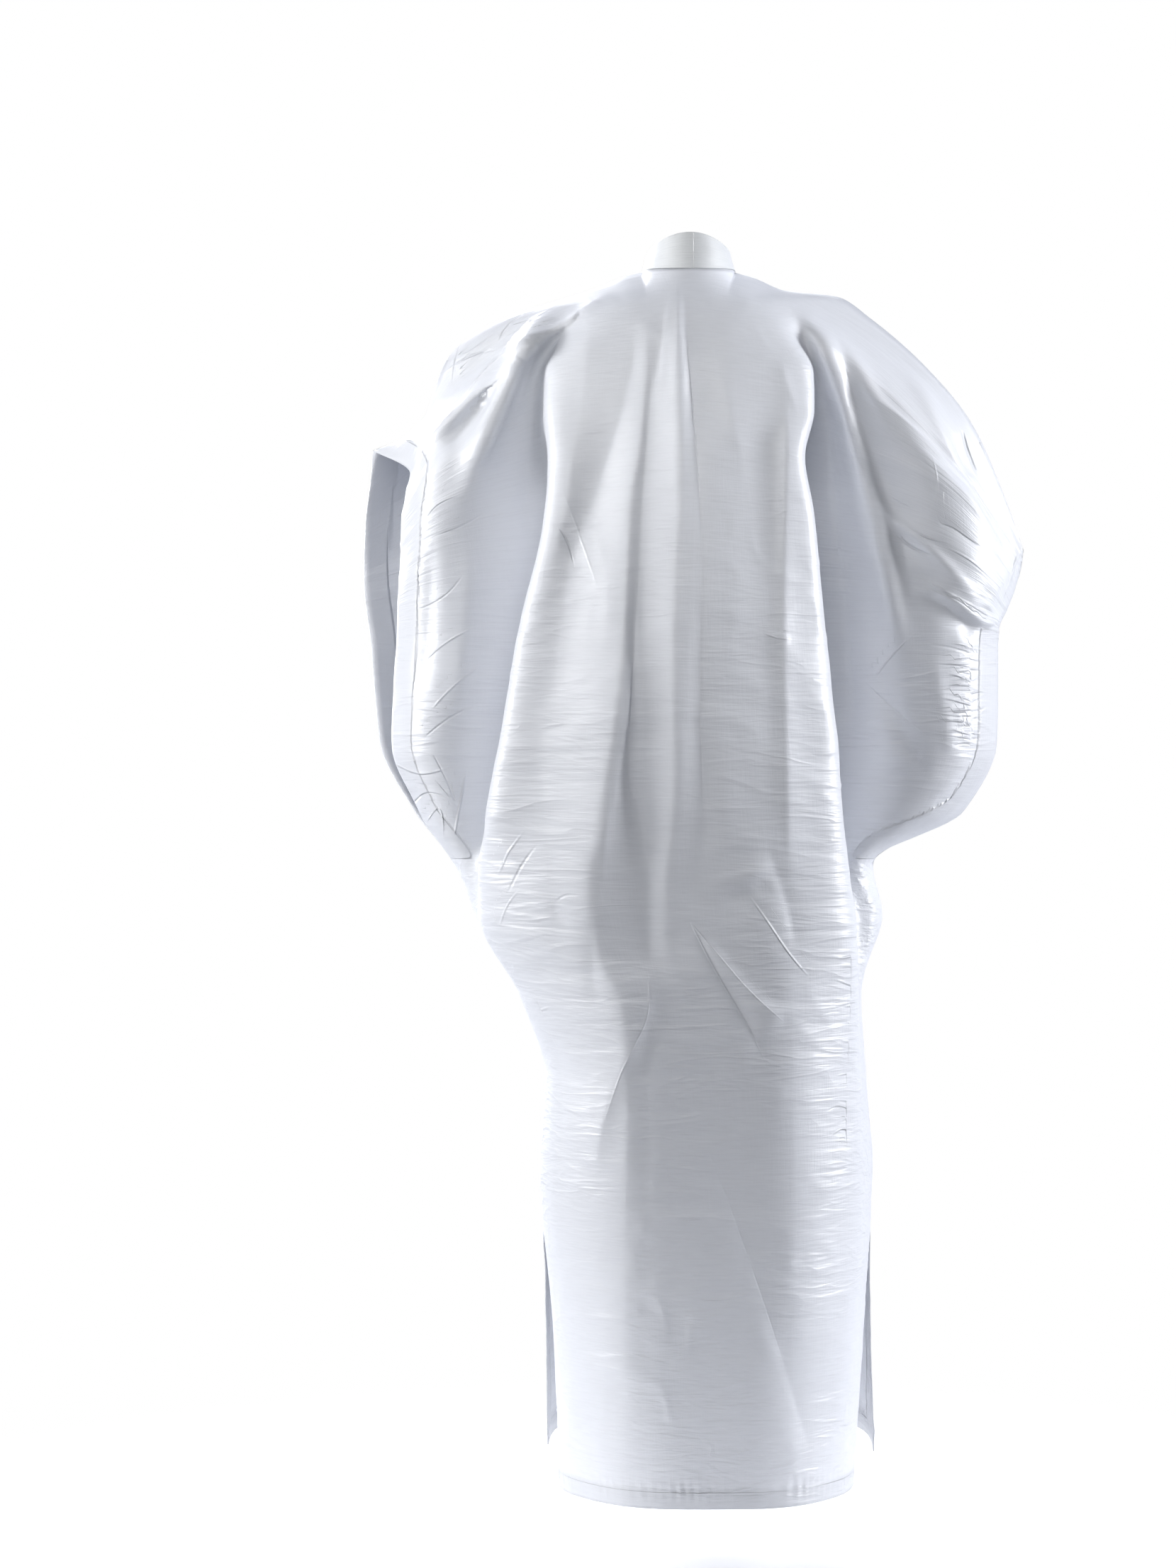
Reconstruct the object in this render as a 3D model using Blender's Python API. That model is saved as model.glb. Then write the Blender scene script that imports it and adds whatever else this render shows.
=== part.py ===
"""A grand boubou robe, worn and hollow: a back panel and a front panel, each cut in one with
its half of both wide sleeves, and a stand collar in two halves.

Metres, +Z up. The wearer faces -Y, so +X is the wearer's left. The origin is the middle of the
neck, level with the collar's seam at the nape.

Every panel is one grid. Its rows run across the robe from the left edge to the right edge, from
the shoulder line (drop 0) to the hem, and its columns run down it. The section tables below give
the form at a few drops, the pleat tables give the body its flat faces and the fold tables give the
sleeves their crests and troughs, and each wall is that grid with a second one WALL behind it.
"""

import bmesh
import bpy
import numpy as np

for old in list(bpy.data.objects):
    bpy.data.objects.remove(old)

# ---------------------------------------------------------------- driving sizes
WALL = 0.0018            # the panels' wall
COLLAR_WALL = 0.0024     # the collar is a doubled, stiffened strip
SEAM_GAP = 0.0003        # between two pieces at a seam
LEVEL_DROP = 0.45        # from here down each row of a panel lies at one height

NECK_CENTRE = (-0.002, -0.006)
NECK_HALF_WIDTH = 0.058
NECK_HALF_DEPTH = 0.076
NAPE_Z = -0.003          # the collar's seam at the nape
SIDE_Z = 0.003           # at the sides of the neck
THROAT_Z = -0.040        # and at the throat
COLLAR_BACK = 0.0455     # the collar's height at the nape
COLLAR_SIDE = 0.023      # at the sides
COLLAR_FRONT = 0.032     # and at the throat
COLLAR_LEAN = 0.006      # how far its top edge leans in
COLLAR_UPRIGHT = 2.5     # how much its foot keeps to the upright where the panels slope

SLIT_LENGTH = 0.25       # the neck slit, down the front from the throat
SLIT_TOP = 0.009         # half its width at the throat
TUCK_DROP = 0.43         # the right sleeve is closed down to here, where it is tucked up
HIP_DROP = 0.735         # the arm openings end and the side seams start
VENT_DROP = 1.11         # the side seams end and the side vents start
HEM_DROP = 1.51

COLUMNS = ("cuff_l", "sleeve_l", "pit_l", "edge_l", "mid", "edge_r", "pit_r", "sleeve_r", "cuff_r")

# The shoulder line, from the left sleeve's tip over both shoulders to the right elbow.
SHOULDER_LEFT = (        # x, y, z
    (0.398, -0.100, -0.210),
    (0.336, -0.062, -0.186),
    (0.317, -0.050, -0.135),
    (0.298, -0.042, -0.096),
    (0.240, -0.032, -0.055),
    (0.166, -0.022, -0.031),
    (0.114, -0.012, -0.0160),
    (0.077, -0.008, -0.0015),
)
SHOULDER_RIGHT = (
    (-0.4245, -0.035, -0.342),
    (-0.401, -0.030, -0.278),
    (-0.358, -0.022, -0.184),
    (-0.3025, -0.014, -0.117),
    (-0.231, -0.008, -0.055),
    (-0.187, -0.006, -0.027),
    (-0.125, -0.004, -0.0205),
    (-0.083, -0.006, -0.0035),
)

# Where each named column of the sections meets the shoulder line: its height there.
TOP_Z = {"cuff_l": -0.210, "sleeve_l": -0.112, "pit_l": -0.032, "edge_l": -0.018, "mid": -0.003,
         "edge_r": -0.016, "pit_r": -0.0225, "sleeve_r": -0.117, "cuff_r": -0.342}

# One row for each section of the back panel, and an (x, y) for each named column.
#  drop    cuff_l           sleeve_l         pit_l            edge_l           mid
#          edge_r           pit_r            sleeve_r         cuff_r
BACK = (
    (0.000, (0.398, -0.100), (0.309, -0.045), (0.168, 0.014), (0.122, 0.034), (-0.002, 0.070),
            (-0.112, 0.040), (-0.152, 0.026), (-0.303, -0.014), (-0.4245, -0.035)),
    (0.0675, (0.347, -0.030), (0.300, 0.000), (0.174, 0.058), (0.146, 0.082), (0.000, 0.118),
             (-0.120, 0.092), (-0.144, 0.070), (-0.262, 0.048), (-0.4225, -0.035)),
    (0.120, (0.352, -0.024), (0.297, 0.026), (0.188, 0.046), (0.170, 0.096), (0.002, 0.130),
            (-0.146, 0.104), (-0.159, 0.054), (-0.276, 0.053), (-0.4196, -0.032)),
    (0.171, (0.357, -0.020), (0.295, 0.045), (0.188, 0.032), (0.174, 0.107), (0.004, 0.138),
            (-0.150, 0.112), (-0.157, 0.034), (-0.290, 0.055), (-0.4156, -0.030)),
    (0.225, (0.358, -0.022), (0.293, 0.043), (0.176, 0.018), (0.171, 0.114), (0.006, 0.144),
            (-0.138, 0.117), (-0.142, 0.014), (-0.289, 0.054), (-0.4116, -0.030)),
    (0.306, (0.360, -0.025), (0.290, 0.040), (0.152, 0.000), (0.177, 0.114), (0.008, 0.150),
            (-0.150, 0.116), (-0.125, 0.000), (-0.285, 0.050), (-0.404, -0.030)),
    (0.450, (0.364, -0.030), (0.285, 0.035), (0.165, -0.005), (0.2075, 0.106), (0.010, 0.158),
            (-0.165, 0.109), (-0.135, -0.005), (-0.270, 0.038), (-0.392, -0.030)),
    (0.580, (0.370, -0.035), (0.300, 0.030), (0.182, -0.005), (0.230, 0.102), (0.010, 0.160),
            (-0.179, 0.105), (-0.147, -0.005), (-0.270, 0.032), (-0.391, -0.035)),
    (0.670, (0.337, -0.045), (0.290, 0.018), (0.210, 0.000), (0.247, 0.094), (0.010, 0.160),
            (-0.186, 0.102), (-0.157, -0.002), (-0.250, 0.018), (-0.3485, -0.040)),
    (0.735, (0.292, -0.035), (0.279, 0.004), (0.258, 0.026), (0.250, 0.078), (0.008, 0.160),
            (-0.191, 0.099), (-0.178, 0.014), (-0.205, -0.004), (-0.234, -0.030)),
    (0.800, (0.262, -0.035), (0.262, -0.004), (0.257, 0.034), (0.238, 0.076), (0.004, 0.158),
            (-0.196, 0.098), (-0.200, 0.026), (-0.228, -0.008), (-0.248, -0.048)),
    (0.900, (0.199, -0.030), (0.206, 0.002), (0.206, 0.036), (0.188, 0.076), (-0.004, 0.154),
            (-0.199, 0.084), (-0.208, 0.030), (-0.216, -0.002), (-0.2165, -0.036)),
    (1.000, (0.170, -0.028), (0.176, 0.006), (0.174, 0.040), (0.154, 0.080), (-0.012, 0.150),
            (-0.194, 0.078), (-0.214, 0.036), (-0.222, 0.002), (-0.2235, -0.032)),
    (1.110, (0.182, -0.027), (0.184, 0.006), (0.178, 0.040), (0.154, 0.080), (-0.018, 0.146),
            (-0.194, 0.078), (-0.219, 0.036), (-0.229, 0.002), (-0.2305, -0.030)),
    (1.310, (0.163, -0.028), (0.167, 0.006), (0.160, 0.040), (0.137, 0.080), (-0.024, 0.144),
            (-0.186, 0.080), (-0.211, 0.038), (-0.220, 0.004), (-0.2185, -0.030)),
    (1.510, (0.154, -0.030), (0.158, 0.004), (0.152, 0.040), (0.128, 0.082), (-0.025, 0.147),
            (-0.175, 0.082), (-0.198, 0.040), (-0.206, 0.004), (-0.2034, -0.032)),
)

# The same for the front panel. Where a side is sewn or folded, its cuff column is the back's.
FRONT = (
    (0.000, (0.398, -0.100), (0.309, -0.045), (0.168, -0.054), (0.122, -0.060), (-0.002, -0.082),
            (-0.112, -0.052), (-0.152, -0.044), (-0.303, -0.014), (-0.4245, -0.035)),
    (0.0675, (0.403, -0.124), (0.322, -0.106), (0.196, -0.088), (0.160, -0.098), (-0.002, -0.134),
             (-0.140, -0.094), (-0.172, -0.078), (-0.310, -0.086), (-0.4225, -0.035)),
    (0.171, (0.411, -0.146), (0.316, -0.146), (0.186, -0.092), (0.178, -0.160), (0.000, -0.172),
            (-0.154, -0.158), (-0.160, -0.084), (-0.300, -0.130), (-0.4156, -0.030)),
    (0.306, (0.414, -0.158), (0.308, -0.152), (0.172, -0.084), (0.185, -0.176), (0.002, -0.188),
            (-0.163, -0.174), (-0.146, -0.080), (-0.290, -0.146), (-0.404, -0.030)),
    (0.450, (0.405, -0.154), (0.298, -0.150), (0.178, -0.082), (0.204, -0.178), (0.002, -0.192),
            (-0.176, -0.176), (-0.152, -0.080), (-0.276, -0.148), (-0.372, -0.118)),
    (0.580, (0.392, -0.140), (0.294, -0.140), (0.192, -0.086), (0.224, -0.172), (0.002, -0.190),
            (-0.186, -0.172), (-0.160, -0.084), (-0.268, -0.142), (-0.368, -0.118)),
    (0.670, (0.345, -0.106), (0.282, -0.118), (0.214, -0.092), (0.232, -0.162), (0.000, -0.188),
            (-0.194, -0.166), (-0.174, -0.092), (-0.248, -0.122), (-0.330, -0.096)),
    (0.735, (0.292, -0.035), (0.279, -0.078), (0.254, -0.110), (0.222, -0.146), (0.000, -0.187),
            (-0.188, -0.152), (-0.212, -0.116), (-0.232, -0.080), (-0.234, -0.030)),
    (0.800, (0.262, -0.035), (0.254, -0.070), (0.234, -0.106), (0.202, -0.138), (-0.002, -0.186),
            (-0.184, -0.146), (-0.218, -0.116), (-0.240, -0.084), (-0.248, -0.048)),
    (0.900, (0.199, -0.030), (0.204, -0.066), (0.192, -0.102), (0.166, -0.134), (-0.008, -0.183),
            (-0.180, -0.140), (-0.208, -0.106), (-0.220, -0.070), (-0.2165, -0.036)),
    (1.000, (0.170, -0.028), (0.176, -0.062), (0.170, -0.098), (0.148, -0.130), (-0.014, -0.180),
            (-0.180, -0.134), (-0.210, -0.100), (-0.222, -0.066), (-0.2235, -0.032)),
    (1.110, (0.182, -0.027), (0.186, -0.060), (0.176, -0.096), (0.150, -0.130), (-0.020, -0.178),
            (-0.186, -0.132), (-0.216, -0.098), (-0.230, -0.062), (-0.2305, -0.030)),
    (1.310, (0.177, -0.062), (0.174, -0.086), (0.162, -0.112), (0.138, -0.138), (-0.026, -0.180),
            (-0.188, -0.138), (-0.216, -0.112), (-0.230, -0.088), (-0.2335, -0.064)),
    (1.510, (0.175, -0.070), (0.170, -0.094), (0.156, -0.118), (0.132, -0.142), (-0.028, -0.182),
            (-0.186, -0.142), (-0.214, -0.118), (-0.232, -0.096), (-0.2395, -0.074)),
)

# The pleats of the body: lines that run down it, with flat faces between them. One row for each
# height, and for each named line its x and how far it stands out of the section, in millimetres.
PLEAT_LINES = ("lip_l", "step", "rise", "crest", "foot", "ridge", "dip", "flat", "turn", "lip_r")
#   z        lip_l        step         rise          crest        foot
#            ridge        dip          flat          turn         lip_r
BACK_PLEATS = (
    (-0.020, (0.150, 0), (0.123, 0), (0.068, 0), (0.053, 0), (0.031, 0),
             (0.014, 0), (0.005, 0), (-0.048, 0), (-0.108, 0), (-0.134, 0)),
    (-0.057, (0.155, 0), (0.123, 1), (0.068, 0), (0.053, 0), (0.031, 0),
             (0.014, 2), (0.005, -1), (-0.048, 0), (-0.108, 0), (-0.138, 0)),
    (-0.117, (0.161, 0), (0.125, 3), (0.068, -2), (0.053, 1), (0.038, -1),
             (0.014, 6), (0.004, -3), (-0.048, 2), (-0.113, 2), (-0.142, 0)),
    (-0.168, (0.169, 0), (0.130, 4), (0.079, -3), (0.056, 2), (0.048, 0),
             (0.014, 9), (0.001, -3), (-0.048, 2), (-0.113, 3), (-0.148, -1)),
    (-0.237, (0.168, 0), (0.142, 4), (0.099, -5), (0.063, 4), (0.053, 1),
             (0.014, 11), (-0.005, 1), (-0.046, 2), (-0.115, 4), (-0.142, -1)),
    (-0.305, (0.175, 0), (0.151, 3), (0.123, -4), (0.074, 6), (0.058, 1),
             (0.014, 11), (-0.009, 1), (-0.040, 1), (-0.115, 4), (-0.148, -1)),
    (-0.374, (0.190, 0), (0.168, 1), (0.145, -2), (0.077, 8), (0.061, 2),
             (0.018, 10), (-0.012, 1), (-0.036, 1), (-0.113, 5), (-0.155, -1)),
    (-0.460, (0.209, 0), (0.183, 0), (0.159, -1), (0.080, 9), (0.068, 1),
             (0.020, 10), (-0.010, -1), (-0.034, 0), (-0.108, 5), (-0.165, -1)),
    (-0.545, (0.224, 0), (0.196, 0), (0.170, 0), (0.087, 9), (0.074, -1),
             (0.020, 9), (-0.010, -3), (-0.036, -1), (-0.103, 4), (-0.175, -1)),
    (-0.614, (0.239, 0), (0.205, 0), (0.179, 0), (0.098, 9), (0.076, -4),
             (0.018, 7), (-0.012, -5), (-0.038, -1), (-0.102, 4), (-0.185, -1)),
    (-0.691, (0.247, 0), (0.209, 0), (0.175, 1), (0.110, 8), (0.059, -7),
             (0.022, 2), (-0.014, -6), (-0.044, -1), (-0.102, 3), (-0.191, -1)),
    (-0.759, (0.243, 0), (0.205, 0), (0.166, 1), (0.121, 7), (0.050, -6),
             (0.029, 0), (-0.005, -3), (-0.040, -2), (-0.108, 3), (-0.198, 0)),
    (-0.828, (0.230, 0), (0.196, 0), (0.162, 0), (0.116, 6), (0.050, -5),
             (0.025, -2), (-0.010, -2), (-0.044, -3), (-0.117, 3), (-0.204, 0)),
    (-0.914, (0.200, 0), (0.179, 0), (0.149, 1), (0.082, 6), (0.050, -2),
             (0.020, -2), (-0.022, -3), (-0.057, -2), (-0.121, 3), (-0.204, 0)),
    (-1.017, (0.180, 0), (0.165, 0), (0.140, 1), (0.077, 6), (0.050, 0),
             (0.016, -3), (-0.022, -4), (-0.061, -3), (-0.124, 4), (-0.200, 0)),
    (-1.188, (0.180, 0), (0.165, 0), (0.140, 1), (0.080, 5), (0.050, 1),
             (0.012, -2), (-0.026, -3), (-0.064, -3), (-0.126, 3), (-0.196, 0)),
    (-1.445, (0.165, 0), (0.150, 0), (0.130, 0), (0.080, 2), (0.050, 1),
             (0.012, 0), (-0.026, -1), (-0.064, -1), (-0.122, 1), (-0.186, 0)),
)
FRONT_PLEATS = (
    (-0.060, (0.160, 0), (0.128, 0), (0.090, 0), (0.062, 0), (0.036, 0),
             (0.018, 0), (-0.014, 0), (-0.050, 0), (-0.100, 0), (-0.140, 0)),
    (-0.150, (0.170, 0), (0.134, 3), (0.096, -2), (0.060, 4), (0.036, 0),
             (0.018, 1), (-0.014, 2), (-0.050, 5), (-0.094, -3), (-0.146, 0)),
    (-0.280, (0.180, 0), (0.140, 4), (0.108, -4), (0.066, 8), (0.040, 0),
             (0.018, -2), (-0.012, 1), (-0.056, 9), (-0.092, -3), (-0.152, 0)),
    (-0.420, (0.196, 0), (0.156, 3), (0.120, -4), (0.070, 10), (0.044, 0),
             (0.012, -5), (-0.016, 2), (-0.062, 10), (-0.094, -2), (-0.160, 0)),
    (-0.560, (0.214, 0), (0.170, 2), (0.136, -3), (0.074, 10), (0.046, -2),
             (0.008, -6), (-0.024, 1), (-0.068, 9), (-0.100, -2), (-0.172, 0)),
    (-0.700, (0.224, 0), (0.180, 2), (0.148, -2), (0.084, 8), (0.050, -4),
             (0.004, -5), (-0.030, 1), (-0.074, 7), (-0.108, -2), (-0.180, 0)),
    (-0.850, (0.186, 0), (0.160, 1), (0.136, 0), (0.092, 6), (0.048, -4),
             (-0.002, -4), (-0.038, 2), (-0.080, 6), (-0.118, -1), (-0.180, 0)),
    (-1.050, (0.160, 0), (0.140, 1), (0.120, 0), (0.084, 5), (0.040, -2),
             (-0.006, -3), (-0.044, 1), (-0.086, 5), (-0.124, 0), (-0.182, 0)),
    (-1.400, (0.146, 0), (0.130, 0), (0.110, 0), (0.080, 3), (0.036, 0),
             (-0.008, -1), (-0.046, 0), (-0.090, 3), (-0.126, 0), (-0.184, 0)),
)
PLEAT_SHARP = 0.65              # 1 leaves the pleats' lines quite crisp, and 0 rounds them off
# And those that run from the shoulders down the sleeves.
BACK_SLEEVE_FOLDS = (
    ((0.166, -0.050), (0.222, -0.143), (0.272, -0.310), (0.014, 0.022), 0.032),
    ((-0.147, -0.060), (-0.197, -0.195), (-0.262, -0.500), (0.012, 0.018), 0.020),
    ((0.100, -0.036), (0.220, -0.120), (0.345, -0.245), (0.009, 0.014), 0.018),
    ((0.190, -0.050), (0.262, -0.110), (0.330, -0.215), (0.010, 0.016), -0.010),
    ((-0.178, -0.076), (-0.212, -0.130), (-0.250, -0.215), (0.010, 0.016), 0.009),
    ((-0.230, -0.290), (-0.330, -0.380), (-0.385, -0.445), (0.010, 0.010), 0.007),
)
FRONT_SLEEVE_FOLDS = (
    ((0.186, -0.060), (0.235, -0.170), (0.280, -0.360), (0.013, 0.022), 0.018),
    ((-0.170, -0.060), (-0.215, -0.190), (-0.262, -0.420), (0.013, 0.022), 0.018),
    ((-0.240, -0.120), (-0.300, -0.220), (-0.340, -0.360), (0.014, 0.020), 0.010),
)

# Mesh steps between one named column and the next, and the drops of the rows.
SIDE_STEPS = (4, 4, 4, 2, 3, 4)     # cuff, sleeve, pit, edge, side, neck, mid
ROW_DROPS = (0, 0.022, 0.050, 0.085, 0.125, 0.170, 0.220, 0.275, 0.330, 0.385, TUCK_DROP, LEVEL_DROP,
             0.495, 0.545, 0.590, 0.630, 0.665, 0.700, HIP_DROP, 0.765, 0.800, 0.845, 0.900, 0.965,
             1.040, VENT_DROP, 1.185, 1.270, 1.360, 1.440, HEM_DROP)


# ---------------------------------------------------------------- curves
def spline(knots, values, at):
    """A natural cubic spline through values at knots, read at the positions `at`."""
    knots, values, at = np.asarray(knots, float), np.asarray(values, float), np.asarray(at, float)
    step = np.diff(knots)
    count = len(knots)
    system = np.eye(count)
    right = np.zeros_like(values)
    chord = (values[1:] - values[:-1]) / step.reshape((-1,) + (1,) * (values.ndim - 1))
    for i in range(1, count - 1):
        system[i, i - 1 : i + 2] = step[i - 1], 2 * (step[i - 1] + step[i]), step[i]
        right[i] = 6 * (chord[i] - chord[i - 1])
    bend = np.linalg.solve(system, right.reshape(count, -1)).reshape(values.shape)
    i = np.clip(np.searchsorted(knots, at) - 1, 0, count - 2)
    shape = (-1,) + (1,) * (values.ndim - 1)
    h = step[i].reshape(shape)
    after = (at - knots[i]).reshape(shape)
    before = h - after
    return ((bend[i] * before**3 + bend[i + 1] * after**3) / (6 * h)
            + (values[i] / h - bend[i] * h / 6) * before
            + (values[i + 1] / h - bend[i + 1] * h / 6) * after)


def steady(knots, values, at):
    """A cubic through values at knots that never overshoots them, read at `at`."""
    knots, values, at = np.asarray(knots, float), np.asarray(values, float), np.asarray(at, float)
    step = np.diff(knots).reshape((-1,) + (1,) * (values.ndim - 1))
    chord = (values[1:] - values[:-1]) / step
    slope = np.zeros_like(values)
    slope[0], slope[-1] = chord[0], chord[-1]
    same = chord[1:] * chord[:-1] > 0
    mean = 2 * chord[1:] * chord[:-1] / np.where(same, chord[1:] + chord[:-1], 1)
    slope[1:-1] = np.where(same, mean, 0)
    i = np.clip(np.searchsorted(knots, at) - 1, 0, len(knots) - 2)
    h = step[i]
    t = (at.reshape((-1,) + (1,) * (values.ndim - 1)) - knots[i].reshape(h.shape)) / h
    return (values[i] * (1 + 2 * t) * (1 - t) ** 2 + slope[i] * h * t * (1 - t) ** 2
            + values[i + 1] * t * t * (3 - 2 * t) + slope[i + 1] * h * t * t * (t - 1))


def ease(value, start, end):
    """0 before start and 1 after end, with a smooth rise between."""
    t = np.clip((value - start) / (end - start), 0, 1)
    return t * t * (3 - 2 * t)


# ---------------------------------------------------------------- the panels' form
SIDE_AT = 0.80           # two more columns stand between edge and mid, at these shares of the way
NECK_AT = 0.40
SIDE_DROP = SIDE_AT**3   # and these shares of the way forward to the edge's depth
NECK_DROP = NECK_AT**3


def control_rows(table):
    """(drops, points): the sections' control points, with side and neck columns worked out."""
    drops, points = [], []
    for drop, *columns in table:
        named = {name: np.array(xy) for name, xy in zip(COLUMNS, columns)}
        level = min(drop / LEVEL_DROP, 1)
        row = []
        for name in COLUMNS:
            z = TOP_Z[name] * (1 - level) - LEVEL_DROP * level if drop < LEVEL_DROP else -drop
            row.append(np.array([*named[name], z]))
        mid = row[4]
        more = []
        for edge in (row[3], row[5]):
            for share, sink in ((SIDE_AT, SIDE_DROP), (NECK_AT, NECK_DROP)):
                more.append(np.array([
                    mid[0] + share * (edge[0] - mid[0]),
                    mid[1] + sink * (edge[1] - mid[1]),
                    mid[2] + share * (edge[2] - mid[2]),
                ]))
        row = row[:4] + [more[0], more[1], mid, more[3], more[2]] + row[5:]
        drops.append(drop)
        points.append(row)
    return np.array(drops), np.array(points)


def column_knots():
    """Where the 13 control columns stand across the cloth: the mean distance between them."""
    points = control_rows(BACK)[1]
    gaps = np.linalg.norm(np.diff(points, axis=1), axis=2).mean(axis=0)
    return np.concatenate([[0], np.cumsum(gaps)])


def columns_at(steps):
    """The mesh columns' places across the cloth, from the steps on each side."""
    knots = column_knots()
    counts = list(steps) + list(steps)[::-1]
    places = [np.linspace(knots[i], knots[i + 1], n, endpoint=False) for i, n in enumerate(counts)]
    return np.concatenate(places + [knots[-1:]])


def neck_point(angle):
    """A point of the collar's seam, with angle 0 at the wearer's left and a quarter turn at the nape."""
    turn = np.sin(angle)
    return np.stack([
        NECK_CENTRE[0] + NECK_HALF_WIDTH * np.cos(angle),
        NECK_CENTRE[1] + NECK_HALF_DEPTH * turn,
        SIDE_Z + np.where(turn > 0, NAPE_Z - SIDE_Z, THROAT_Z - SIDE_Z) * turn**2,
    ], axis=-1)


def top_line(places, turn):
    """The panel's top edge: the shoulder line, then the neck's curve, then the other shoulder."""
    knots = column_knots()
    neck_left, neck_right, last = knots[5], knots[7], knots[-1]
    line = np.zeros((len(places), 3))
    neck_l, neck_r = neck_point(np.array([0.0, np.pi]))
    for i, place in enumerate(places):
        if place < neck_left:
            points = np.array(SHOULDER_LEFT + (tuple(neck_l),))
            along = place / neck_left
        elif place > neck_right:
            points = np.array(SHOULDER_RIGHT + (tuple(neck_r),))
            along = (last - place) / (last - neck_right)
        else:
            share = (place - neck_left) / (neck_right - neck_left)
            line[i] = neck_point(turn * np.pi * share)
            continue
        length = np.concatenate([[0], np.cumsum(np.linalg.norm(np.diff(points, axis=0), axis=1))])
        line[i] = steady(length / length[-1], points, np.array([along]))[0]
    return line


NECK_FADE = 0.042        # the drop over which a panel leaves its top edge's own curve by the neck
SLEEVE_FADE = 0.10       # and along the sleeves


def fold_lift(x, z, folds):
    """How far the folds move the cloth out at each point."""
    lift = np.zeros_like(x)
    for start, middle, end, widths, height in folds:
        t = np.clip((start[1] - z) / (start[1] - end[1]), 0, 1)
        bend = (start[1] - middle[1]) / (start[1] - end[1])
        line = (start[0] * (t - bend) * (t - 1) / bend + middle[0] * t * (t - 1) / (bend * (bend - 1))
                + end[0] * t * (t - bend) / (1 - bend))
        width = widths[0] + (widths[1] - widths[0]) * t
        ends = ease(z, start[1] + 0.02, start[1] - 0.06) * ease(z, end[1] - 0.01, end[1] + 0.12)
        lift += height * ends * np.exp(-(((x - line) / width) ** 2))
    return lift


def pleat_lift(x, z, table):
    """How far the pleats move each point of the body out."""
    heights = np.array([row[0] for row in table])[::-1]
    lines = np.array([row[1:] for row in table])[::-1]
    at = steady(heights, lines.reshape(len(heights), -1), z.ravel()).reshape(-1, len(PLEAT_LINES), 2)
    place, height = at[..., 0], at[..., 1] / 1000
    flat_x = x.ravel()
    lift = np.where(flat_x > place[:, 0], height[:, 0], height[:, -1])
    for k in range(len(PLEAT_LINES) - 1):
        t = (place[:, k] - flat_x) / (place[:, k] - place[:, k + 1])
        inside = (t >= 0) & (t <= 1)
        t = PLEAT_SHARP * t + (1 - PLEAT_SHARP) * t * t * (3 - 2 * t)
        lift = np.where(inside, height[:, k] + (height[:, k + 1] - height[:, k]) * t, lift)
    return lift.reshape(x.shape)


def panel_points(table, turn, places, row_drops):
    """The panel's outer points, a row of columns for each drop. turn is 1 for the back, -1 for the front."""
    drops, control = control_rows(table)
    row_drops = np.asarray(row_drops, float)
    rows = steady(drops, control, row_drops)
    knots = column_knots()
    grid = np.stack([spline(knots, row, places) for row in rows])
    edge = top_line(places, turn) - spline(knots, control[0], places)
    by_neck = ease(places, knots[1], knots[3]) * ease(-places, -knots[11], -knots[9])
    reach = SLEEVE_FADE + (NECK_FADE - SLEEVE_FADE) * by_neck
    fade = (1 - np.clip(row_drops[:, None] / reach, 0, 1)) ** 2
    grid += fade[..., None] * edge
    return grid


def edge_open(drops, side):
    """0 where the panels are joined at this side, and 1 where they stand apart."""
    drops = np.asarray(drops, float)
    opened = (drops > 0) * 1.0 if side == "l" else ease(drops, TUCK_DROP, TUCK_DROP + 0.05)
    arm = opened * (1 - ease(drops, HIP_DROP - 0.07, HIP_DROP))
    vent = ease(drops, VENT_DROP, VENT_DROP + 0.12)
    return np.maximum(arm, vent)


def both_panels(steps, row_drops):
    """(back, front): the two panels' outer points, equal along every seam."""
    places = columns_at(steps)
    knots = column_knots()
    back = panel_points(BACK, 1, places, row_drops)
    front = panel_points(FRONT, -1, places, row_drops)
    body = ease(places, knots[3] - 0.01, knots[3] + 0.02) * ease(-places, -knots[9] - 0.01, -knots[9] + 0.02)
    back[..., 1] += body * pleat_lift(back[..., 0], back[..., 2], BACK_PLEATS)
    back[..., 1] += (1 - body) * fold_lift(back[..., 0], back[..., 2], BACK_SLEEVE_FOLDS)
    front[..., 1] -= body * pleat_lift(front[..., 0], front[..., 2], FRONT_PLEATS)
    front[..., 1] -= (1 - body) * fold_lift(front[..., 0], front[..., 2], FRONT_SLEEVE_FOLDS)
    # The front hangs a little shorter, with its corners a little lower than its middle.
    across = (places - knots[6]) / (knots[-1] - knots[6])
    rise = 0.055 - 0.028 * np.abs(across) ** 4
    down = ease(np.asarray(row_drops, float), 0.9, HEM_DROP)
    front[..., 2] += down[:, None] * rise[None, :]
    for column, side in ((0, "l"), (-1, "r")):
        part = edge_open(row_drops, side)[:, None]
        near = np.exp(-np.abs(places - places[column]) / 0.05)
        shift = (1 - part) * (back[:, column] - front[:, column])
        front += near[None, :, None] * shift[:, None, :]
        front[:, column] = np.where(part > 0, front[:, column], back[:, column])
    front[0] = np.where((places < knots[5] + 1e-9)[:, None] | (places > knots[7] - 1e-9)[:, None],
                        back[0], front[0])
    return back, front


def grid_normals(grid, turn):
    """Unit normals of a grid, pointing out of the robe."""
    across = np.gradient(grid, axis=1)
    down = np.gradient(grid, axis=0)
    normal = np.cross(down, across) * turn
    return normal / np.linalg.norm(normal, axis=2, keepdims=True)


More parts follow.
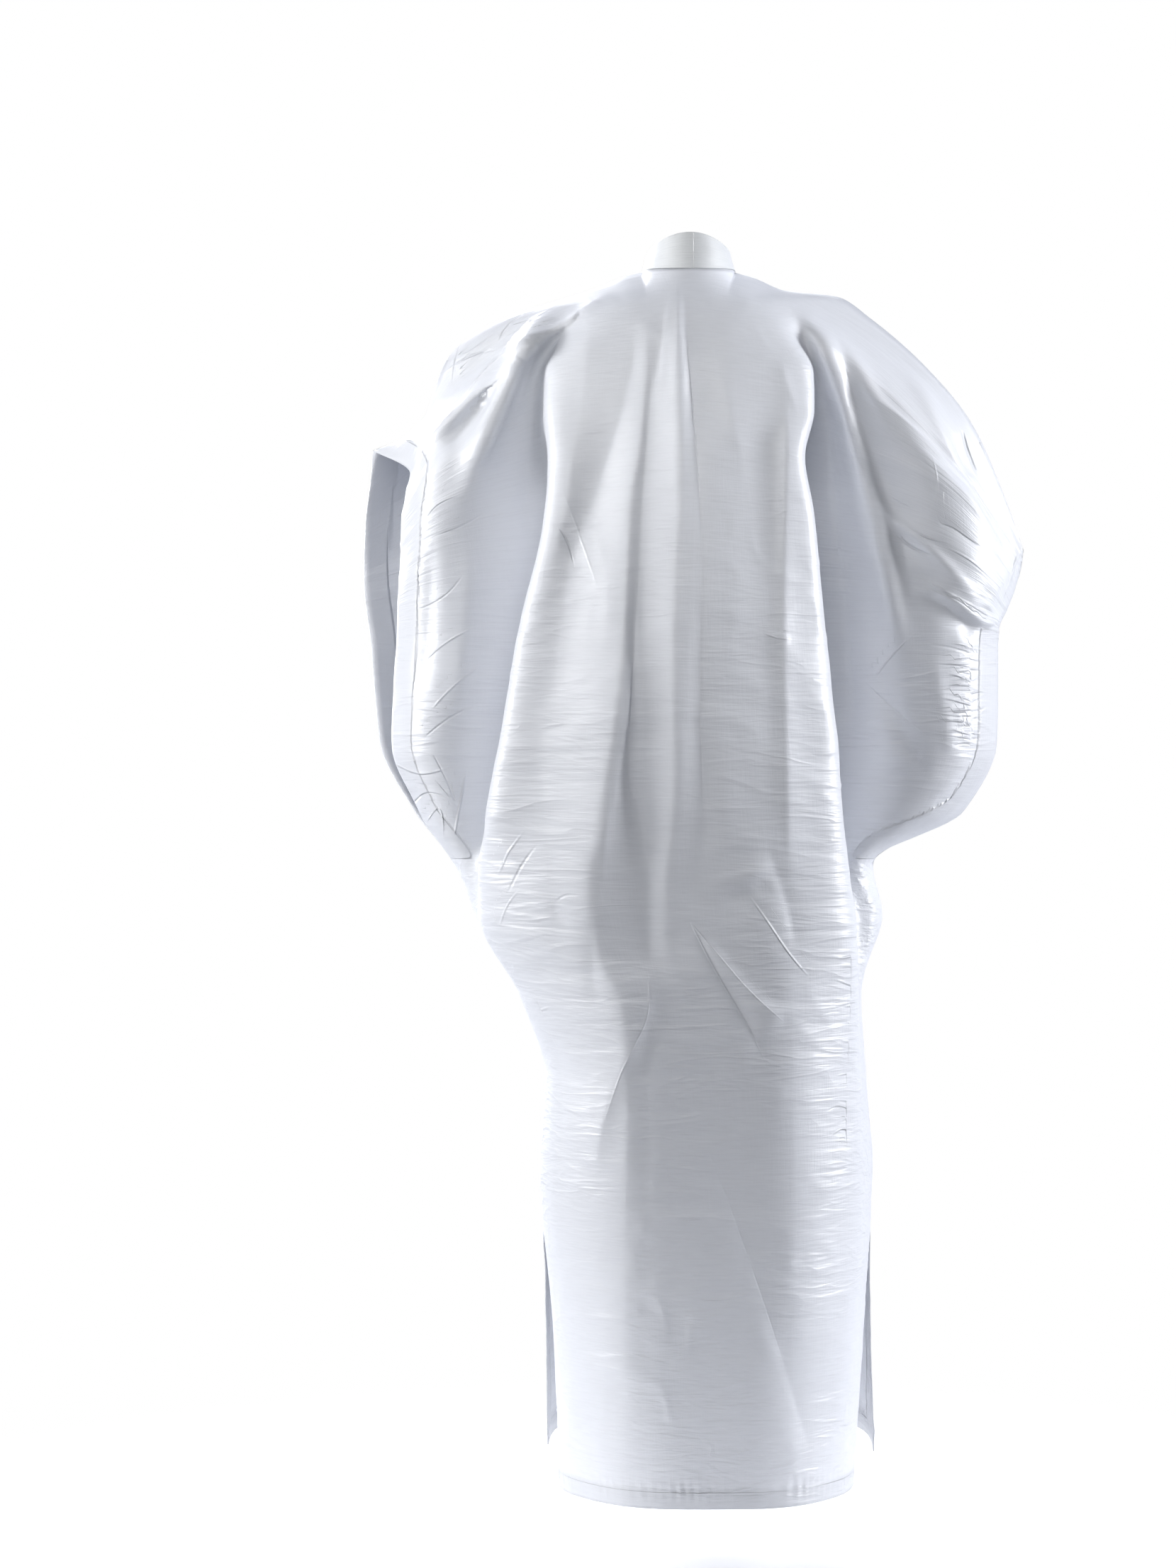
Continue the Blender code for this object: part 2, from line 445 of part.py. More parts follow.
def inward_steps(grid):
    """Unit steps from the grid's border points into the cloth, and 0 inside it."""
    steps = np.zeros_like(grid)
    steps[0] = grid[1] - grid[0]
    steps[1:, 0] = grid[1:, 1] - grid[1:, 0]
    steps[1:, -1] = grid[1:, -2] - grid[1:, -1]
    steps[0, 0] = grid[1, 1] - grid[0, 0]
    steps[0, -1] = grid[1, -2] - grid[0, -1]
    return steps / (np.linalg.norm(steps, axis=2, keepdims=True) + 1e-9)


# ---------------------------------------------------------------- solids
def material(name, color, roughness):
    made = bpy.data.materials.new(name)
    made.use_nodes = True
    shader = made.node_tree.nodes["Principled BSDF"]
    shader.inputs["Base Color"].default_value = (*color, 1)
    shader.inputs["Roughness"].default_value = roughness
    made.diffuse_color = (*color, 1)
    return made


def wall_object(name, outer, inner, quads, finish):
    """A closed wall between matching outer and inner points, with a face strip round each free edge."""
    mesh = bpy.data.meshes.new(name)
    shape = bmesh.new()
    out = [shape.verts.new(point) for point in outer]
    back = [shape.verts.new(point) for point in inner]
    used = {}
    for quad in quads:
        shape.faces.new([out[i] for i in quad])
        shape.faces.new([back[i] for i in reversed(quad)])
        for i, start in enumerate(quad):
            used[(start, quad[(i + 1) % len(quad)])] = True
    for start, end in list(used):
        if (end, start) not in used:
            shape.faces.new([out[end], out[start], back[start], back[end]])
    shape.verts.ensure_lookup_table()
    loose = [vert for vert in shape.verts if not vert.link_faces]
    bmesh.ops.delete(shape, geom=loose, context="VERTS")
    bmesh.ops.triangulate(shape, faces=shape.faces)
    shape.to_mesh(mesh)
    shape.free()
    mesh.shade_smooth()
    mesh.materials.append(finish)
    made = bpy.data.objects.new(name, mesh)
    bpy.context.scene.collection.objects.link(made)
    return made


def grid_quads(rows, columns, flip):
    quads = []
    for r in range(rows - 1):
        for c in range(columns - 1):
            a = r * columns + c
            quad = (a, a + columns, a + columns + 1, a + 1)
            quads.append(quad[::-1] if flip else quad)
    return quads


def build():
    cloth = material("white_satin_cloth", (0.86, 0.87, 0.92), 0.42)
    stand = material("white_collar_cloth", (0.88, 0.90, 0.90), 0.5)
    back, front = both_panels(SIDE_STEPS, ROW_DROPS)
    rows, columns = back.shape[:2]
    back_out = grid_normals(back, 1)
    front_out = grid_normals(front, -1)
    places = columns_at(SIDE_STEPS)
    knots = column_knots()
    drops = np.asarray(ROW_DROPS, float)

    # Joined edges share one thickness direction, so that their end faces are parallel.
    joined = np.zeros((rows, columns), bool)
    joined[0, (places <= knots[5] + 1e-9) | (places >= knots[7] - 1e-9)] = True
    for column, side in ((0, "l"), (-1, "r")):
        joined[:, column] |= edge_open(drops, side) == 0
    mean = back_out + front_out - inward_steps(back) - inward_steps(front)
    mean /= np.linalg.norm(mean, axis=2, keepdims=True) + 1e-9
    back_out = np.where(joined[..., None], mean, back_out)
    front_out = np.where(joined[..., None], mean, front_out)

    def pulled(grid):
        """The grid with half a seam's gap taken off each joined edge."""
        moved = grid.copy()
        inward = grid[1] - grid[0]
        inward /= np.linalg.norm(inward, axis=1, keepdims=True)
        moved[0] += SEAM_GAP / 2 * inward
        for column, side in ((0, 1), (-1, -2)):
            along = grid[:, side] - grid[:, column]
            along /= np.linalg.norm(along, axis=1, keepdims=True)
            moved[:, column] += np.where(joined[:, column, None], SEAM_GAP / 2, 0) * along
        return moved

    back_grid, front_grid = pulled(back), pulled(front)
    wall_object("back_panel", back_grid.reshape(-1, 3), (back_grid - WALL * back_out).reshape(-1, 3),
                grid_quads(rows, columns, False), cloth)

    # The front panel is parted down its middle from the throat to the slit's foot.
    middle = int(np.argmin(np.abs(places - knots[6])))
    outer = front_grid.reshape(-1, 3)
    inner = (front_grid - WALL * front_out).reshape(-1, 3)
    quads = grid_quads(rows, columns, True)
    slit_rows = [r for r in range(rows) if front[r, middle, 2] > THROAT_Z - SLIT_LENGTH]
    copy_of = {}
    extra_outer, extra_inner = [], []
    for r in slit_rows:
        i = r * columns + middle
        half = SLIT_TOP * (1 - (THROAT_Z - front[r, middle, 2]) / SLIT_LENGTH)
        copy_of[i] = len(outer) + len(extra_outer)
        extra_outer.append(outer[i] - [half, 0, 0])
        extra_inner.append(inner[i] - [half, 0, 0])
        outer[i] += [half, 0, 0]
        inner[i] += [half, 0, 0]
    split = []
    for quad in quads:
        right_half = max(i % columns for i in quad) > middle
        split.append(tuple(copy_of.get(i, i) if right_half else i for i in quad))
    wall_object("front_panel", np.vstack([outer, extra_outer]), np.vstack([inner, extra_inner]), split, cloth)

    build_collar(back, front, back_out, front_out, places, knots, stand)


COLLAR_ROWS = (0, 0.3, 0.65, 1)


def build_collar(back, front, back_out, front_out, places, knots, finish):
    """Two strips that stand on the neckline, with a gap at the nape and an opening at the throat."""
    first = int(np.argmin(np.abs(places - knots[5])))
    middle = int(np.argmin(np.abs(places - knots[6])))
    last = int(np.argmin(np.abs(places - knots[7])))
    for name, from_nape, from_side in (
        ("collar_left", range(middle, first - 1, -1), range(first + 1, middle + 1)),
        ("collar_right", range(middle, last + 1), range(last - 1, middle - 1, -1)),
    ):
        base = np.array([back[0, i] for i in from_nape] + [front[0, i] for i in from_side])
        out = np.array([back_out[0, i] for i in from_nape] + [front_out[0, i] for i in from_side])
        sign = 1 if name == "collar_left" else -1
        base[0, 0] += sign * SEAM_GAP / 2
        base[-1, 0] += sign * SLIT_TOP
        centre = np.array([*NECK_CENTRE, 0])
        lean = centre - base
        lean[:, 2] = 0
        lean /= np.linalg.norm(lean, axis=1, keepdims=True)
        foot = out - COLLAR_UPRIGHT * lean
        foot /= np.linalg.norm(foot, axis=1, keepdims=True)
        turn = (base[:, 1] - NECK_CENTRE[1]) / NECK_HALF_DEPTH
        height = COLLAR_SIDE + np.where(turn > 0, COLLAR_BACK - COLLAR_SIDE, COLLAR_FRONT - COLLAR_SIDE) * turn**2
        outer, inner = [], []
        for part in COLLAR_ROWS:
            row = base + part * COLLAR_LEAN * lean
            row[:, 2] += SEAM_GAP + part * height
            side = foot * (1 - part) - lean * part
            side /= np.linalg.norm(side, axis=1, keepdims=True)
            thick = WALL + (COLLAR_WALL - WALL) * min(1, part * 4)
            outer.append(row)
            inner.append(row - thick * side)
        outer, inner = np.array(outer), np.array(inner)
        quads = grid_quads(len(COLLAR_ROWS), base.shape[0], sign < 0)
        wall_object(name, outer.reshape(-1, 3), inner.reshape(-1, 3), quads, finish)


build()
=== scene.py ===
"""The looks of a grand boubou robe: crisp white satin-faced cloth, worn and hollow, seen from behind.

Metres, +Z up, in the frame's own coordinates. The wearer faces -Y, so +X is the wearer's left, and
the origin is the middle of the neck. The two panels are built on the sections of their solids, on
a finer grid, with the creases and hems laid on them; the material draws the finest creases.
"""
import math

import bpy
import numpy as np
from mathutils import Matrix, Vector


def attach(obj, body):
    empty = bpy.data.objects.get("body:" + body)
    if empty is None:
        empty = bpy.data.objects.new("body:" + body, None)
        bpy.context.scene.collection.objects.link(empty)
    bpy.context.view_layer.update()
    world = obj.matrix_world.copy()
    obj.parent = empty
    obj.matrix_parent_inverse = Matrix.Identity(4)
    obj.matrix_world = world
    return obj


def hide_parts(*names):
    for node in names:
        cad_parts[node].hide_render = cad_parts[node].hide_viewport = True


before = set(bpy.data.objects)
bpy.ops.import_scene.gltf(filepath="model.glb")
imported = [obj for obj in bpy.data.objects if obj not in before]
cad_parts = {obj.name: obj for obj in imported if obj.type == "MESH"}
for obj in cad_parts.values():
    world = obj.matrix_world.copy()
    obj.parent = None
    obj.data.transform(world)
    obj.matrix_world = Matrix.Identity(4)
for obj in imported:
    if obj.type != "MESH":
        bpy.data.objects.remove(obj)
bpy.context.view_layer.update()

# ---- driving sizes
WALL = 0.0018  # the panels' wall
COLLAR_WALL = 0.0024  # the collar is a doubled, stiffened strip
SEAM_GAP = 0.0003  # between two pieces at a seam
LEVEL_DROP = 0.45  # from here down each row of a panel lies at one height

NECK_CENTRE = (-0.002, -0.006)
NECK_HALF_WIDTH = 0.058
NECK_HALF_DEPTH = 0.076
NAPE_Z = -0.003  # the collar's seam at the nape
SIDE_Z = 0.003  # at the sides of the neck
THROAT_Z = -0.040  # and at the throat
COLLAR_BACK = 0.0455  # the collar's height at the nape
COLLAR_SIDE = 0.023  # at the sides
COLLAR_FRONT = 0.032  # and at the throat
COLLAR_LEAN = 0.006  # how far its top edge leans in
COLLAR_UPRIGHT = 2.5  # how much its foot keeps to the upright where the panels slope

SLIT_LENGTH = 0.25  # the neck slit, down the front from the throat
SLIT_TOP = 0.009  # half its width at the throat
TUCK_DROP = 0.43  # the right sleeve is closed down to here, where it is tucked up
HIP_DROP = 0.735  # the arm openings end and the side seams start
VENT_DROP = 1.11  # the side seams end and the side vents start
HEM_DROP = 1.51
FRONT_RISE = 0.055  # the front's hem hangs this much higher in its middle
CORNER_DIP = 0.028  # and its corners this much lower than its middle

# ---- the panels' tables
# The tables are texts with a row a line, in millimetres where nothing else is said.
COLUMNS = ("cuff_l", "sleeve_l", "pit_l", "edge_l", "mid", "edge_r", "pit_r", "sleeve_r", "cuff_r")


def rows_of(table):
    """The rows of a text table, without its comments."""
    return [row for row in table.strip().splitlines() if not row.startswith("#")]


def metres(text):
    """The numbers of a text in millimetres, turned into metres."""
    return [float(word + "e-3") for word in text.replace(",", " ").split()]


# Where each named column of the sections meets the shoulder line: its height there.
TOP_Z = dict(zip(COLUMNS, metres("-210 -112 -32 -18 -3 -16 -22.5 -117 -342")))

# The shoulder line as x,y,z, from the left sleeve's tip over both shoulders to the right elbow.
SHOULDER_LEFT = """
398,-100,-210 336,-62,-186 317,-50,-135 298,-42,-96 240,-32,-55 166,-22,-31 114,-12,-16 77,-8,-1.5
"""
SHOULDER_RIGHT = """
-424.5,-35,-342 -401,-30,-278 -358,-22,-184 -302.5,-14,-117 -231,-8,-55 -187,-6,-27 -125,-4,-20.5 -83,-6,-3.5
"""

# One row for each section of the back panel: its drop, then x,y for each named column.
BACK = """
0 398,-100 309,-45 168,14 122,34 -2,70 -112,40 -152,26 -303,-14 -424.5,-35
67.5 347,-30 300,0 174,58 146,82 0,118 -120,92 -144,70 -262,48 -422.5,-35
120 352,-24 297,26 188,46 170,96 2,130 -146,104 -159,54 -276,53 -419.6,-32
171 357,-20 295,45 188,32 174,107 4,138 -150,112 -157,34 -290,55 -415.6,-30
225 358,-22 293,43 176,18 171,114 6,144 -138,117 -142,14 -289,54 -411.6,-30
306 360,-25 290,40 152,0 177,114 8,150 -150,116 -125,0 -285,50 -404,-30
450 364,-30 285,35 165,-5 207.5,106 10,158 -165,109 -135,-5 -270,38 -392,-30
580 370,-35 300,30 182,-5 230,102 10,160 -179,105 -147,-5 -270,32 -391,-35
670 337,-45 290,18 210,0 247,94 10,160 -186,102 -157,-2 -250,18 -348.5,-40
735 292,-35 279,4 258,26 250,78 8,160 -191,99 -178,14 -205,-4 -234,-30
800 262,-35 262,-4 257,34 238,76 4,158 -196,98 -200,26 -228,-8 -248,-48
900 199,-30 206,2 206,36 188,76 -4,154 -199,84 -208,30 -216,-2 -216.5,-36
1000 170,-28 176,6 174,40 154,80 -12,150 -194,78 -214,36 -222,2 -223.5,-32
1110 182,-27 184,6 178,40 154,80 -18,146 -194,78 -219,36 -229,2 -230.5,-30
1310 163,-28 167,6 160,40 137,80 -24,144 -186,80 -211,38 -220,4 -218.5,-30
1510 154,-30 158,4 152,40 128,82 -25,147 -175,82 -198,40 -206,4 -203.4,-32
"""
# The same for the front panel. Where a side is sewn or folded, its cuff column is the back's.
FRONT = """
0 398,-100 309,-45 168,-54 122,-60 -2,-82 -112,-52 -152,-44 -303,-14 -424.5,-35
67.5 403,-124 322,-106 196,-88 160,-98 -2,-134 -140,-94 -172,-78 -310,-86 -422.5,-35
171 411,-146 316,-146 186,-92 178,-160 0,-172 -154,-158 -160,-84 -300,-130 -415.6,-30
306 414,-158 308,-152 172,-84 185,-176 2,-188 -163,-174 -146,-80 -290,-146 -404,-30
450 405,-154 298,-150 178,-82 204,-178 2,-192 -176,-176 -152,-80 -276,-148 -372,-118
580 392,-140 294,-140 192,-86 224,-172 2,-190 -186,-172 -160,-84 -268,-142 -368,-118
670 345,-106 282,-118 214,-92 232,-162 0,-188 -194,-166 -174,-92 -248,-122 -330,-96
735 292,-35 279,-78 254,-110 222,-146 0,-187 -188,-152 -212,-116 -232,-80 -234,-30
800 262,-35 254,-70 234,-106 202,-138 -2,-186 -184,-146 -218,-116 -240,-84 -248,-48
900 199,-30 204,-66 192,-102 166,-134 -8,-183 -180,-140 -208,-106 -220,-70 -216.5,-36
1000 170,-28 176,-62 170,-98 148,-130 -14,-180 -180,-134 -210,-100 -222,-66 -223.5,-32
1110 182,-27 186,-60 176,-96 150,-130 -20,-178 -186,-132 -216,-98 -230,-62 -230.5,-30
1310 177,-62 174,-86 162,-112 138,-138 -26,-180 -188,-138 -216,-112 -230,-88 -233.5,-64
1510 175,-70 170,-94 156,-118 132,-142 -28,-182 -186,-142 -214,-118 -232,-96 -239.5,-74
"""
# The pleats of the body: lines that run down it, with flat faces between them. One row for each
# height z, and for each named line its x and how far it stands out, as x,out.
PLEAT_LINES = ("lip_l", "step", "rise", "crest", "foot", "ridge", "dip", "flat", "turn", "lip_r")
BACK_PLEATS = """
-20 150,0 123,0 68,0 53,0 31,0 14,0 5,0 -48,0 -108,0 -134,0
-57 155,0 123,1 68,0 53,0 31,0 14,2 5,-1 -48,0 -108,0 -138,0
-117 161,0 125,3 68,-2 53,1 38,-1 14,6 4,-3 -48,2 -113,2 -142,0
-168 169,0 130,4 79,-3 56,2 48,0 14,9 1,-3 -48,2 -113,3 -148,-1
-237 168,0 142,4 99,-5 63,4 53,1 14,11 -5,1 -46,2 -115,4 -142,-1
-305 175,0 151,3 123,-4 74,6 58,1 14,11 -9,1 -40,1 -115,4 -148,-1
-374 190,0 168,1 145,-2 77,8 61,2 18,10 -12,1 -36,1 -113,5 -155,-1
-460 209,0 183,0 159,-1 80,9 68,1 20,10 -10,-1 -34,0 -108,5 -165,-1
-545 224,0 196,0 170,0 87,9 74,-1 20,9 -10,-3 -36,-1 -103,4 -175,-1
-614 239,0 205,0 179,0 98,9 76,-4 18,7 -12,-5 -38,-1 -102,4 -185,-1
-691 247,0 209,0 175,1 110,8 59,-7 22,2 -14,-6 -44,-1 -102,3 -191,-1
-759 243,0 205,0 166,1 121,7 50,-6 29,0 -5,-3 -40,-2 -108,3 -198,0
-828 230,0 196,0 162,0 116,6 50,-5 25,-2 -10,-2 -44,-3 -117,3 -204,0
-914 200,0 179,0 149,1 82,6 50,-2 20,-2 -22,-3 -57,-2 -121,3 -204,0
-1017 180,0 165,0 140,1 77,6 50,0 16,-3 -22,-4 -61,-3 -124,4 -200,0
-1188 180,0 165,0 140,1 80,5 50,1 12,-2 -26,-3 -64,-3 -126,3 -196,0
-1445 165,0 150,0 130,0 80,2 50,1 12,0 -26,-1 -64,-1 -122,1 -186,0
"""
FRONT_PLEATS = """
-60 160,0 128,0 90,0 62,0 36,0 18,0 -14,0 -50,0 -100,0 -140,0
-150 170,0 134,3 96,-2 60,4 36,0 18,1 -14,2 -50,5 -94,-3 -146,0
-280 180,0 140,4 108,-4 66,8 40,0 18,-2 -12,1 -56,9 -92,-3 -152,0
-420 196,0 156,3 120,-4 70,10 44,0 12,-5 -16,2 -62,10 -94,-2 -160,0
-560 214,0 170,2 136,-3 74,10 46,-2 8,-6 -24,1 -68,9 -100,-2 -172,0
-700 224,0 180,2 148,-2 84,8 50,-4 4,-5 -30,1 -74,7 -108,-2 -180,0
-850 186,0 160,1 136,0 92,6 48,-4 -2,-4 -38,2 -80,6 -118,-1 -180,0
-1050 160,0 140,1 120,0 84,5 40,-2 -6,-3 -44,1 -86,5 -124,0 -182,0
-1400 146,0 130,0 110,0 80,3 36,0 -8,-1 -46,0 -90,3 -126,0 -184,0
"""
PLEAT_SHARP = 0.65  # 1 leaves the pleats' lines quite crisp, and 0 rounds them off

# The folds down the sleeves: x,z where each starts, in its middle and where it ends, then its half
# width at the start and at the end, and its height.
BACK_SLEEVE_FOLDS = """
166,-50 222,-143 272,-310 14 22 32
-147,-60 -197,-195 -262,-500 12 18 20
100,-36 220,-120 345,-245 9 14 18
190,-50 262,-110 330,-215 10 16 -10
-178,-76 -212,-130 -250,-215 10 16 9
-230,-290 -330,-380 -385,-445 10 10 7
"""
FRONT_SLEEVE_FOLDS = """
186,-60 235,-170 280,-360 13 22 18
-170,-60 -215,-190 -262,-420 13 22 18
-240,-120 -300,-220 -340,-360 14 20 10
"""

# ---- curves
def spline(knots, values, at):
    """A natural cubic spline through values at knots, read at the positions `at`."""
    knots, values, at = np.asarray(knots, float), np.asarray(values, float), np.asarray(at, float)
    step = np.diff(knots)
    count = len(knots)
    system = np.eye(count)
    right = np.zeros_like(values)
    shape = (-1,) + (1,) * (values.ndim - 1)
    chord = (values[1:] - values[:-1]) / step.reshape(shape)
    for i in range(1, count - 1):
        system[i, i - 1 : i + 2] = step[i - 1], 2 * (step[i - 1] + step[i]), step[i]
        right[i] = 6 * (chord[i] - chord[i - 1])
    bend = np.linalg.solve(system, right.reshape(count, -1)).reshape(values.shape)
    i = np.clip(np.searchsorted(knots, at) - 1, 0, count - 2)
    h = step[i].reshape(shape)
    after = (at - knots[i]).reshape(shape)
    before = h - after
    return ((bend[i] * before**3 + bend[i + 1] * after**3) / (6 * h)
            + (values[i] / h - bend[i] * h / 6) * before
            + (values[i + 1] / h - bend[i + 1] * h / 6) * after)


def steady(knots, values, at):
    """A cubic through values at knots that never overshoots them, read at `at`."""
    knots, values, at = np.asarray(knots, float), np.asarray(values, float), np.asarray(at, float)
    shape = (-1,) + (1,) * (values.ndim - 1)
    step = np.diff(knots).reshape(shape)
    chord = (values[1:] - values[:-1]) / step
    slope = np.zeros_like(values)
    slope[0], slope[-1] = chord[0], chord[-1]
    same = chord[1:] * chord[:-1] > 0
    mean = 2 * chord[1:] * chord[:-1] / np.where(same, chord[1:] + chord[:-1], 1)
    slope[1:-1] = np.where(same, mean, 0)
    i = np.clip(np.searchsorted(knots, at) - 1, 0, len(knots) - 2)
    h = step[i]
    t = (at.reshape(shape) - knots[i].reshape(h.shape)) / h
    return (values[i] * (1 + 2 * t) * (1 - t) ** 2 + slope[i] * h * t * (1 - t) ** 2
            + values[i + 1] * t * t * (3 - 2 * t) + slope[i + 1] * h * t * t * (t - 1))


def ease(value, start, end):
    """0 before start and 1 after end, with a smooth rise between."""
    t = np.clip((value - start) / (end - start), 0, 1)
    return t * t * (3 - 2 * t)


def run(points):
    """How far along its line each point lies."""
    return np.concatenate([[0], np.cumsum(np.linalg.norm(np.diff(points, axis=0), axis=1))])


# ---- the panels' form
SIDE_AT, NECK_AT = 0.80, 0.40  # two more columns stand between edge and mid, at these shares of the way
EDGE_L, MID, EDGE_R = 3, 6, 9  # numbers of the columns with those two more on each side,
NECK_L, NECK_R = 5, 7  # and of the two at the sides of the neck
TINY = 1e-9
NECK_FADE = 0.042  # the drop over which a panel leaves its top edge's own curve by the neck
SLEEVE_FADE = 0.10  # and along the sleeves
TUCK_FADE = 0.05  # the drops over which the panels part under the tuck,
HIP_FADE = 0.07  # meet again over the hip
VENT_FADE = 0.12  # and part at the vents
RISE_DROP = 0.9  # from here down the front is drawn up towards its higher hem
SEAM_REACH = 0.05  # how far from a seam the front gives way to meet the back
FOLD_START = (0.02, -0.06)  # a sleeve's fold fades in between these heights off its start
FOLD_END = (-0.01, 0.12)  # and out between these off its end


def control_rows(table):
    """(drops, points): the sections' control points, with side and neck columns worked out."""
    drops, points = [], []
    for row in rows_of(table):
        drop, *numbers = metres(row)
        level = min(drop / LEVEL_DROP, 1)
        named = []
        for name, x, y in zip(COLUMNS, numbers[::2], numbers[1::2]):
            z = TOP_Z[name] * (1 - level) - LEVEL_DROP * level if drop < LEVEL_DROP else -drop
            named.append(np.array([x, y, z]))
        mid = named[4]
        side_l, neck_l, side_r, neck_r = (
            mid + np.array([share, share**3, share]) * (edge - mid)
            for edge in (named[3], named[5]) for share in (SIDE_AT, NECK_AT))
        drops.append(drop)
        points.append(named[:4] + [side_l, neck_l, mid, neck_r, side_r] + named[5:])
    return np.array(drops), np.array(points)


def column_knots():
    """Where the 13 control columns stand across the cloth: the mean distance between them."""
    points = control_rows(BACK)[1]
    gaps = np.linalg.norm(np.diff(points, axis=1), axis=2).mean(axis=0)
    return np.concatenate([[0], np.cumsum(gaps)])


def columns_at(steps):
    """The mesh columns' places across the cloth, from the steps on each side."""
    counts = list(steps) + list(steps)[::-1]
    places = [np.linspace(KNOTS[i], KNOTS[i + 1], n, endpoint=False) for i, n in enumerate(counts)]
    return np.concatenate(places + [KNOTS[-1:]])


def neck_point(angle):
    """A point of the collar's seam, with angle 0 at the wearer's left and a quarter turn at the nape."""
    turn = np.sin(angle)
    return np.stack([
        NECK_CENTRE[0] + NECK_HALF_WIDTH * np.cos(angle),
        NECK_CENTRE[1] + NECK_HALF_DEPTH * turn,
        SIDE_Z + np.where(turn > 0, NAPE_Z - SIDE_Z, THROAT_Z - SIDE_Z) * turn**2,
    ], axis=-1)


def top_line(places, turn):
    """The panel's top edge: the shoulder line, then the neck's curve, then the other shoulder."""
    neck_left, neck_right, last = KNOTS[NECK_L], KNOTS[NECK_R], KNOTS[-1]
    line = np.zeros((len(places), 3))
    neck_l, neck_r = neck_point(np.array([0.0, np.pi]))
    for i, place in enumerate(places):
        if neck_left <= place <= neck_right:
            line[i] = neck_point(turn * np.pi * ((place - neck_left) / (neck_right - neck_left)))
            continue
        if place < neck_left:
            shoulder, end, along = SHOULDER_LEFT, neck_l, place / neck_left
        else:
            shoulder, end, along = SHOULDER_RIGHT, neck_r, (last - place) / (last - neck_right)
        points = np.vstack([np.reshape(metres(shoulder), (-1, 3)), end])
        length = run(points)
        line[i] = steady(length / length[-1], points, np.array([along]))[0]
    return line


def fold_lift(x, z, folds):
    """How far the folds move the cloth out at each point."""
    lift = np.zeros_like(x)
    for row in rows_of(folds):
        x0, z0, x1, z1, x2, z2, wide, wide_end, height = metres(row)
        t = np.clip((z0 - z) / (z0 - z2), 0, 1)
        bend = (z0 - z1) / (z0 - z2)
        line = (x0 * (t - bend) * (t - 1) / bend + x1 * t * (t - 1) / (bend * (bend - 1))
                + x2 * t * (t - bend) / (1 - bend))
        width = wide + (wide_end - wide) * t
        ends = (ease(z, z0 + FOLD_START[0], z0 + FOLD_START[1])
                * ease(z, z2 + FOLD_END[0], z2 + FOLD_END[1]))
        lift += height * ends * np.exp(-(((x - line) / width) ** 2))
    return lift


def pleat_lift(x, z, table):
    """How far the pleats move each point of the body out."""
    rows = np.array([metres(row) for row in rows_of(table)])[::-1]
    at = steady(rows[:, 0], rows[:, 1:], np.clip(z.ravel(), rows[0, 0], rows[-1, 0]))
    place, height = at[:, ::2], at[:, 1::2]
    flat_x = x.ravel()
    lift = np.where(flat_x > place[:, 0], height[:, 0], height[:, -1])
    for k in range(len(PLEAT_LINES) - 1):
        t = (place[:, k] - flat_x) / (place[:, k] - place[:, k + 1])
        inside = (t >= 0) & (t <= 1)
        t = PLEAT_SHARP * t + (1 - PLEAT_SHARP) * t * t * (3 - 2 * t)
        lift = np.where(inside, height[:, k] + (height[:, k + 1] - height[:, k]) * t, lift)
    return lift.reshape(x.shape)


def panel_points(table, turn, places, row_drops):
    """The panel's outer points, a row of columns for each drop. turn is 1 for the back, -1 for the front."""
    drops, control = control_rows(table)
    grid = np.stack([spline(KNOTS, row, places) for row in steady(drops, control, row_drops)])
    edge = top_line(places, turn) - spline(KNOTS, control[0], places)
    by_neck = ease(places, KNOTS[1], KNOTS[3]) * ease(-places, -KNOTS[11], -KNOTS[9])
    reach = SLEEVE_FADE + (NECK_FADE - SLEEVE_FADE) * by_neck
    fade = (1 - np.clip(row_drops[:, None] / reach, 0, 1)) ** 2
    return grid + fade[..., None] * edge


def edge_open(drops, side):
    """0 where the panels are joined at this side, and 1 where they stand apart."""
    opened = (drops > 0) * 1.0 if side == "l" else ease(drops, TUCK_DROP, TUCK_DROP + TUCK_FADE)
    arm = opened * (1 - ease(drops, HIP_DROP - HIP_FADE, HIP_DROP))
    return np.maximum(arm, ease(drops, VENT_DROP, VENT_DROP + VENT_FADE))


def body_share(places):
    """1 on the body and 0 on the sleeves."""
    return (ease(places, KNOTS[EDGE_L] - 0.01, KNOTS[EDGE_L] + 0.02)
            * ease(-places, -KNOTS[EDGE_R] - 0.01, -KNOTS[EDGE_R] + 0.02))


def on_shoulders(places):
    """Which columns reach a shoulder line, and not the neck."""
    return (places < KNOTS[NECK_L] + TINY) | (places > KNOTS[NECK_R] - TINY)


